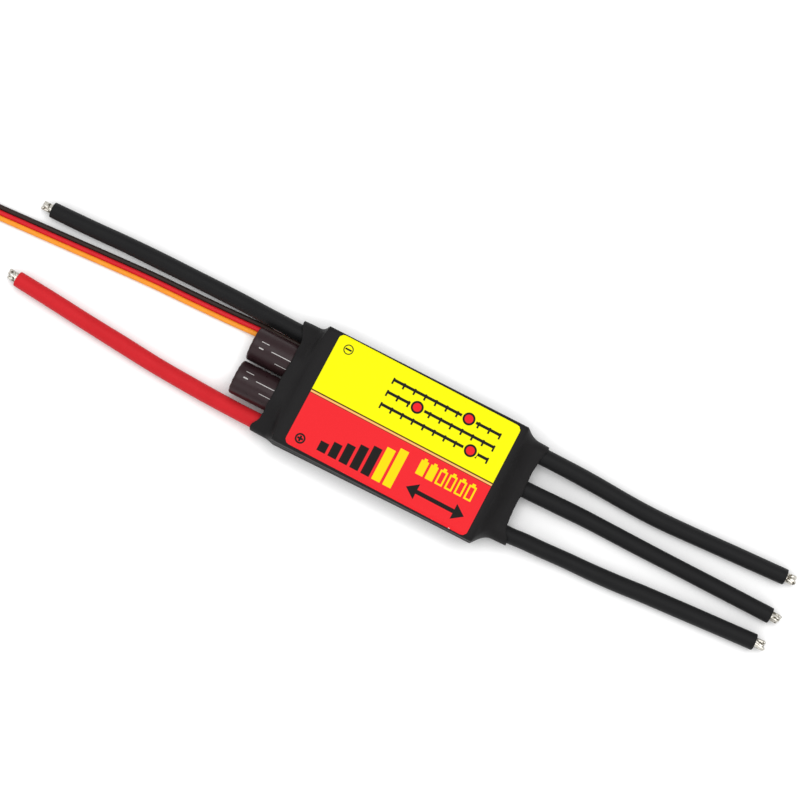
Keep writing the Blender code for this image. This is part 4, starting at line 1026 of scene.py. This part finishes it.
# Rising level bars in the red field, the last ones yellow
bar_start, bar_step, bar_foot, bar_rise = -19.6, 3.5, -15.2, 1.42
bars_half = bar_step * 7 / 2
bar_place, bar_across = in_steps(bar_start, bar_step)
bar_index = reckon("FLOOR", bar_place)
bar_top = reckon("MULTIPLY_ADD", bar_index, bar_rise, bar_foot + 3.0)
bar_height = both(reckon("SUBTRACT", py, bar_top), reckon("SUBTRACT", bar_foot, py))
bars = both(aside(bar_across, 0.0, 1.32), bar_height)
bars = both(bars, aside(px, bar_start + bars_half, bars_half))
bar_ink = label_print.blend(reckon("GREATER_THAN", bar_index, 4.5), ink_black, ink_yellow)
art = printed(art, bars, bar_ink)

# A row of cells, two of them full, and a double arrow below it
cell_start, cell_step, cell_y = 8.2, 3.05, -5.9
cells_half = cell_step * 6 / 2
_, cell_across = in_steps(cell_start, cell_step)
cell_box = both(aside(cell_across, 0.0, 1.15), aside(py, cell_y, 2.2))
cell_frame = aside(cell_box, -0.25, 0.25)
cell_fill = both(cell_box, reckon("SUBTRACT", px, cell_start + 2 * cell_step))
cell_nub = both(aside(cell_across, 0.0, 0.5), aside(py, cell_y + 2.5, 0.35))
battery_cells = either(either(cell_frame, cell_fill), cell_nub)
battery_cells = both(battery_cells, aside(px, cell_start + cells_half, cells_half))
art = printed(art, battery_cells, ink_yellow)
arrow_x, arrow_y, arrow_half, barb_from, barb_slope = 17.3, -12.6, 9.2, 5.9, 0.72
arrow_reach = aside(px, arrow_x, 0.0)
barb = reckon("MULTIPLY_ADD", arrow_reach, barb_slope, -arrow_half * barb_slope)
barb = reckon("ADD", barb, aside(py, arrow_y, 0.0))
barb = both(barb, reckon("SUBTRACT", barb_from, arrow_reach))
art = printed(art, either(oblong(arrow_x, arrow_y, 6.2, 0.62), barb), ink_black)

# Polarity marks beside the battery leads
minus_at, plus_at = (-24.4, 14.2), (-24.7, -14.5)
minus_mark = either(ring_mark(*minus_at, 1.32, 0.30), oblong(*minus_at, 0.98, 0.25))
plus_arms = either(oblong(*plus_at, 0.88, 0.30), oblong(*plus_at, 0.30, 0.88))
plus_mark = either(ring_mark(*plus_at, 1.28, 0.50), plus_arms)
art = printed(art, either(minus_mark, plus_mark), ink_black)

# The cut edge is chipped here and there
label_low, label_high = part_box("label")
label_middle, label_half = (label_low.x + label_high.x) / 2, (label_high.x - label_low.x) / 2
chip_reach = 0.18
rim = oblong(
    label_middle * 1000, 0.0, label_half * 1000 - chip_reach, label_high.y * 1000 - chip_reach
)
chipped = reckon("GREATER_THAN", label_print.noise(spot, 1.3, 4.0), 0.70)
chipped = reckon("MULTIPLY", chipped, reckon("GREATER_THAN", rim, 0.0))
label_print.tint(chipped, art, (0.80, 0.79, 0.76))
label_print.roughen(grain, 0.34, 0.44)
label_print.relief(label_print.noise(spot, 0.7, 2.0), 0.02)

label_corner, label_thickness, label_glue = 0.0015, 0.00015, 0.00003
label_edge = 0.0002
film_top = plate_high.z + film_gap + film_wall
film_turn_y = plate_high.y - plate_edge
film_turn = plate_edge + film_gap + film_wall
label_rows = np.linspace(-label_high.y, label_high.y, 73)
label_rows[[1, -2]] = [-label_high.y + label_edge, label_high.y - label_edge]
faces_up, faces_down = [], []
for y in label_rows:
    past_corner = max(0.0, abs(y) - (label_high.y - label_corner))
    half = label_half - label_corner + math.sqrt(max(0.0, label_corner**2 - past_corner**2))
    columns = label_middle + np.linspace(-1.0, 1.0, 61) * half
    row_x = columns * math.cos(label_slant) - y * math.sin(label_slant)
    row_y = columns * math.sin(label_slant) + y * math.cos(label_slant)
    past_turn = np.maximum(0.0, np.abs(row_y) - film_turn_y)
    row_z = film_top - film_turn + np.sqrt(film_turn**2 - past_turn**2) + label_glue
    faces_down.append(list(zip(row_x, row_y, row_z)))
    faces_up.append(list(zip(row_x, row_y, row_z + label_thickness)))
sheet = bmesh.new()
borders = []
for face in (faces_up, faces_down):
    grid = [[sheet.verts.new(point) for point in row] for row in face]
    for row, after in zip(grid[:-1], grid[1:]):
        for corners in zip(row[:-1], row[1:], after[1:], after[:-1]):
            sheet.faces.new(corners)
    right_edge, left_edge = [row[-1] for row in grid[:-1]], [row[0] for row in grid[:0:-1]]
    borders.append(grid[0][:-1] + right_edge + grid[-1][:0:-1] + left_edge)
for index in range(len(borders[0])):
    after = (index + 1) % len(borders[0])
    sheet.faces.new((borders[0][index], borders[0][after], borders[1][after], borders[1][index]))
bmesh.ops.recalc_face_normals(sheet, faces=sheet.faces)
sticker = meshed(sheet, "label_sticker", 40)
set_piece("label_sticker", sticker, label_print, "label", "label")

# Plug and tie of the signal lead
# A flat three-way housing moulded in black plastic with a latched crimp terminal for each wire, and
# a soft ribbed band that holds the hank together.
housing_plastic = grained(
    "black plug plastic", {"IOR": 1.5}, 5.0, 3.0,
    (0.010, 0.010, 0.011), (0.020, 0.020, 0.021), (0.36, 0.5), 0.012,
)


def softened(name, width):
    """A copy of a solid with its edges rounded."""
    shape = bmesh.new()
    shape.from_mesh(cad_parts[name].data)
    bmesh.ops.remove_doubles(shape, verts=shape.verts, dist=1e-6)
    bmesh.ops.dissolve_limit(
        shape, angle_limit=math.radians(1), verts=shape.verts, edges=shape.edges
    )
    solid = [edge for edge in shape.edges if edge.is_manifold]
    sharp = [edge for edge in solid if edge.calc_face_angle() > math.radians(30)]
    bmesh.ops.bevel(
        shape, geom=sharp, offset=width, segments=2, affect="EDGES", profile=0.5, clamp_overlap=True
    )
    return meshed(shape, name + "_softened", 50)


housing = softened("plug_housing", 0.00008)
plug_shell = set_piece("plug_shell", housing, housing_plastic, "housing", "plug_housing")
dress(leg_tin, "plug_terminal_ground", "plug_terminal_power", "plug_terminal_pulse")

tie_rubber = grained(
    "black rubber band", {"IOR": 1.45}, 2.0, 4.0,
    (0.014, 0.014, 0.015), (0.032, 0.032, 0.033), (0.55, 0.75),
)
rib_pitch = 0.6
along_tie = tie_rubber.axes(tie_rubber.spot())[0]
ribs = tie_rubber.math("SINE", tie_rubber.math("MULTIPLY", along_tie, math.tau / rib_pitch))
tie_rubber.relief(ribs, 0.05)
band = softened("hank_tie", 0.00012)
hank_band = set_piece("hank_band", band, tie_rubber, "tie", "hank_tie")

for wire, cord in signal_cords.items():
    on_cord = [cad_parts[f"plug_terminal_{wire}"]]
    if wire == "power":
        on_cord += [plug_shell, hank_band]

# Stage
# A white table under broad soft light, seen from almost straight above through a long lens. Where
# the stage itself is seen, the table also glows, and less so in tight gaps.


def seen(tree):
    """1 on rays that show the stage, straight or in gloss, and 0 on its light on the object."""
    rays = add_node(tree, "ShaderNodeLightPath", output=None).outputs
    total = rays["Is Camera Ray"]
    for kind in ("Is Glossy Ray", "Is Transmission Ray"):
        terms = {0: total, 1: rays[kind]}
        total = add_node(tree, "ShaderNodeMath", terms, operation="ADD", use_clamp=True)
    return total


table_half, table_drop = 3, 0.00005
table = bpy.data.objects.new("table", bpy.data.meshes.new("table"))
corners = [(x * table_half, y * table_half, 0) for x, y in ((-1, -1), (1, -1), (1, 1), (-1, 1))]
table.data.from_pydata(corners, [], [(0, 1, 2, 3)])
table.data.transform(Matrix.Translation((0.0, 0.0, -table_drop)))
bpy.context.scene.collection.objects.link(table)
white_table = Finish("white table", {"Roughness": 0.9, "Specular IOR Level": 0.0})
in_view = seen(white_table.tree)
white_table.feed("Base Color", white_table.ranged(in_view, 0.0, 1.0, 0.90, 0.82))
gap_reach, gap_power, near_glow, far_glow = 0.0078, 3.5, 0.58, 1.0
open_share = white_table.node("AmbientOcclusion", {"Distance": gap_reach}, "AO", samples=6)
open_share = white_table.math("POWER", open_share, gap_power)
spot = white_table.node("TexCoord", output="Object")
away = white_table.node("VectorMath", {0: spot}, "Value", operation="LENGTH")
glow = white_table.math("MULTIPLY", open_share, near_glow)
glow = white_table.ranged(away, 0.3, 1.0, glow, far_glow)
glow = white_table.math("MULTIPLY", in_view, glow)
lit = white_table.node("Emission", {"Color": (1.0, 1.0, 1.0), "Strength": glow})
both_lights = white_table.node("AddShader", {0: white_table.shader.outputs[0], 1: lit})
surface = white_table.tree.nodes["Material Output"].inputs["Surface"]
white_table.tree.links.new(both_lights, surface)
table.data.materials.append(white_table.material)

sky = bpy.data.worlds.new("soft white room")
sky.use_nodes = True
tree = sky.node_tree
background = tree.nodes["Background"]
background.inputs["Color"].default_value = (1.0, 1.0, 1.0, 1.0)
level = add_node(tree, "ShaderNodeMapRange", {"Value": seen(tree), "To Min": 0.5, "To Max": 1.0})
tree.links.new(level, background.inputs["Strength"])
bpy.context.scene.world = sky

for name, place, size, power in (
    ("main softbox", (0.10, 0.15, 1.18), 1.0, 7.6),
    ("near softbox", (-0.15, -0.95, 0.85), 0.8, 2.2),
    ("battery end softbox", (-1.1, 0.1, 0.75), 0.7, 1.3),
    ("motor end softbox", (1.1, 0.1, 0.75), 0.7, 1.1),
):
    lamp = bpy.data.lights.new(name, "AREA")
    lamp.shape = "SQUARE"
    lamp.size = size
    lamp.energy = power
    holder = bpy.data.objects.new(name, lamp)
    holder.location = place
    holder.rotation_euler = Vector(place).to_track_quat("Z", "Y").to_euler()
    bpy.context.scene.collection.objects.link(holder)

turn, tilt, distance = math.radians(27.2), math.radians(6.0), 0.650
aim_point = Vector((-0.005343, 0.009559, 0.0))
right = Vector((math.cos(turn), math.sin(turn), 0.0))
table_up = Vector((-math.sin(turn), math.cos(turn), 0.0))
view_up = table_up * math.cos(tilt) + Vector((0.0, 0.0, math.sin(tilt)))
back = right.cross(view_up)
# The lens as a focal length in picture widths
sensor_width, focal_widths = 36.0, 2249.0 / 800.0
camera_data = bpy.data.cameras.new("camera")
camera_data.sensor_width = sensor_width
camera_data.lens = sensor_width * focal_widths
camera_data.clip_start = 0.01
camera = bpy.data.objects.new("camera", camera_data)
facing = Matrix((right, view_up, back)).transposed().to_4x4()
camera.matrix_world = Matrix.Translation(aim_point + back * distance) @ facing
bpy.context.scene.collection.objects.link(camera)
bpy.context.scene.camera = camera
bpy.context.scene.view_settings.view_transform = "Standard"
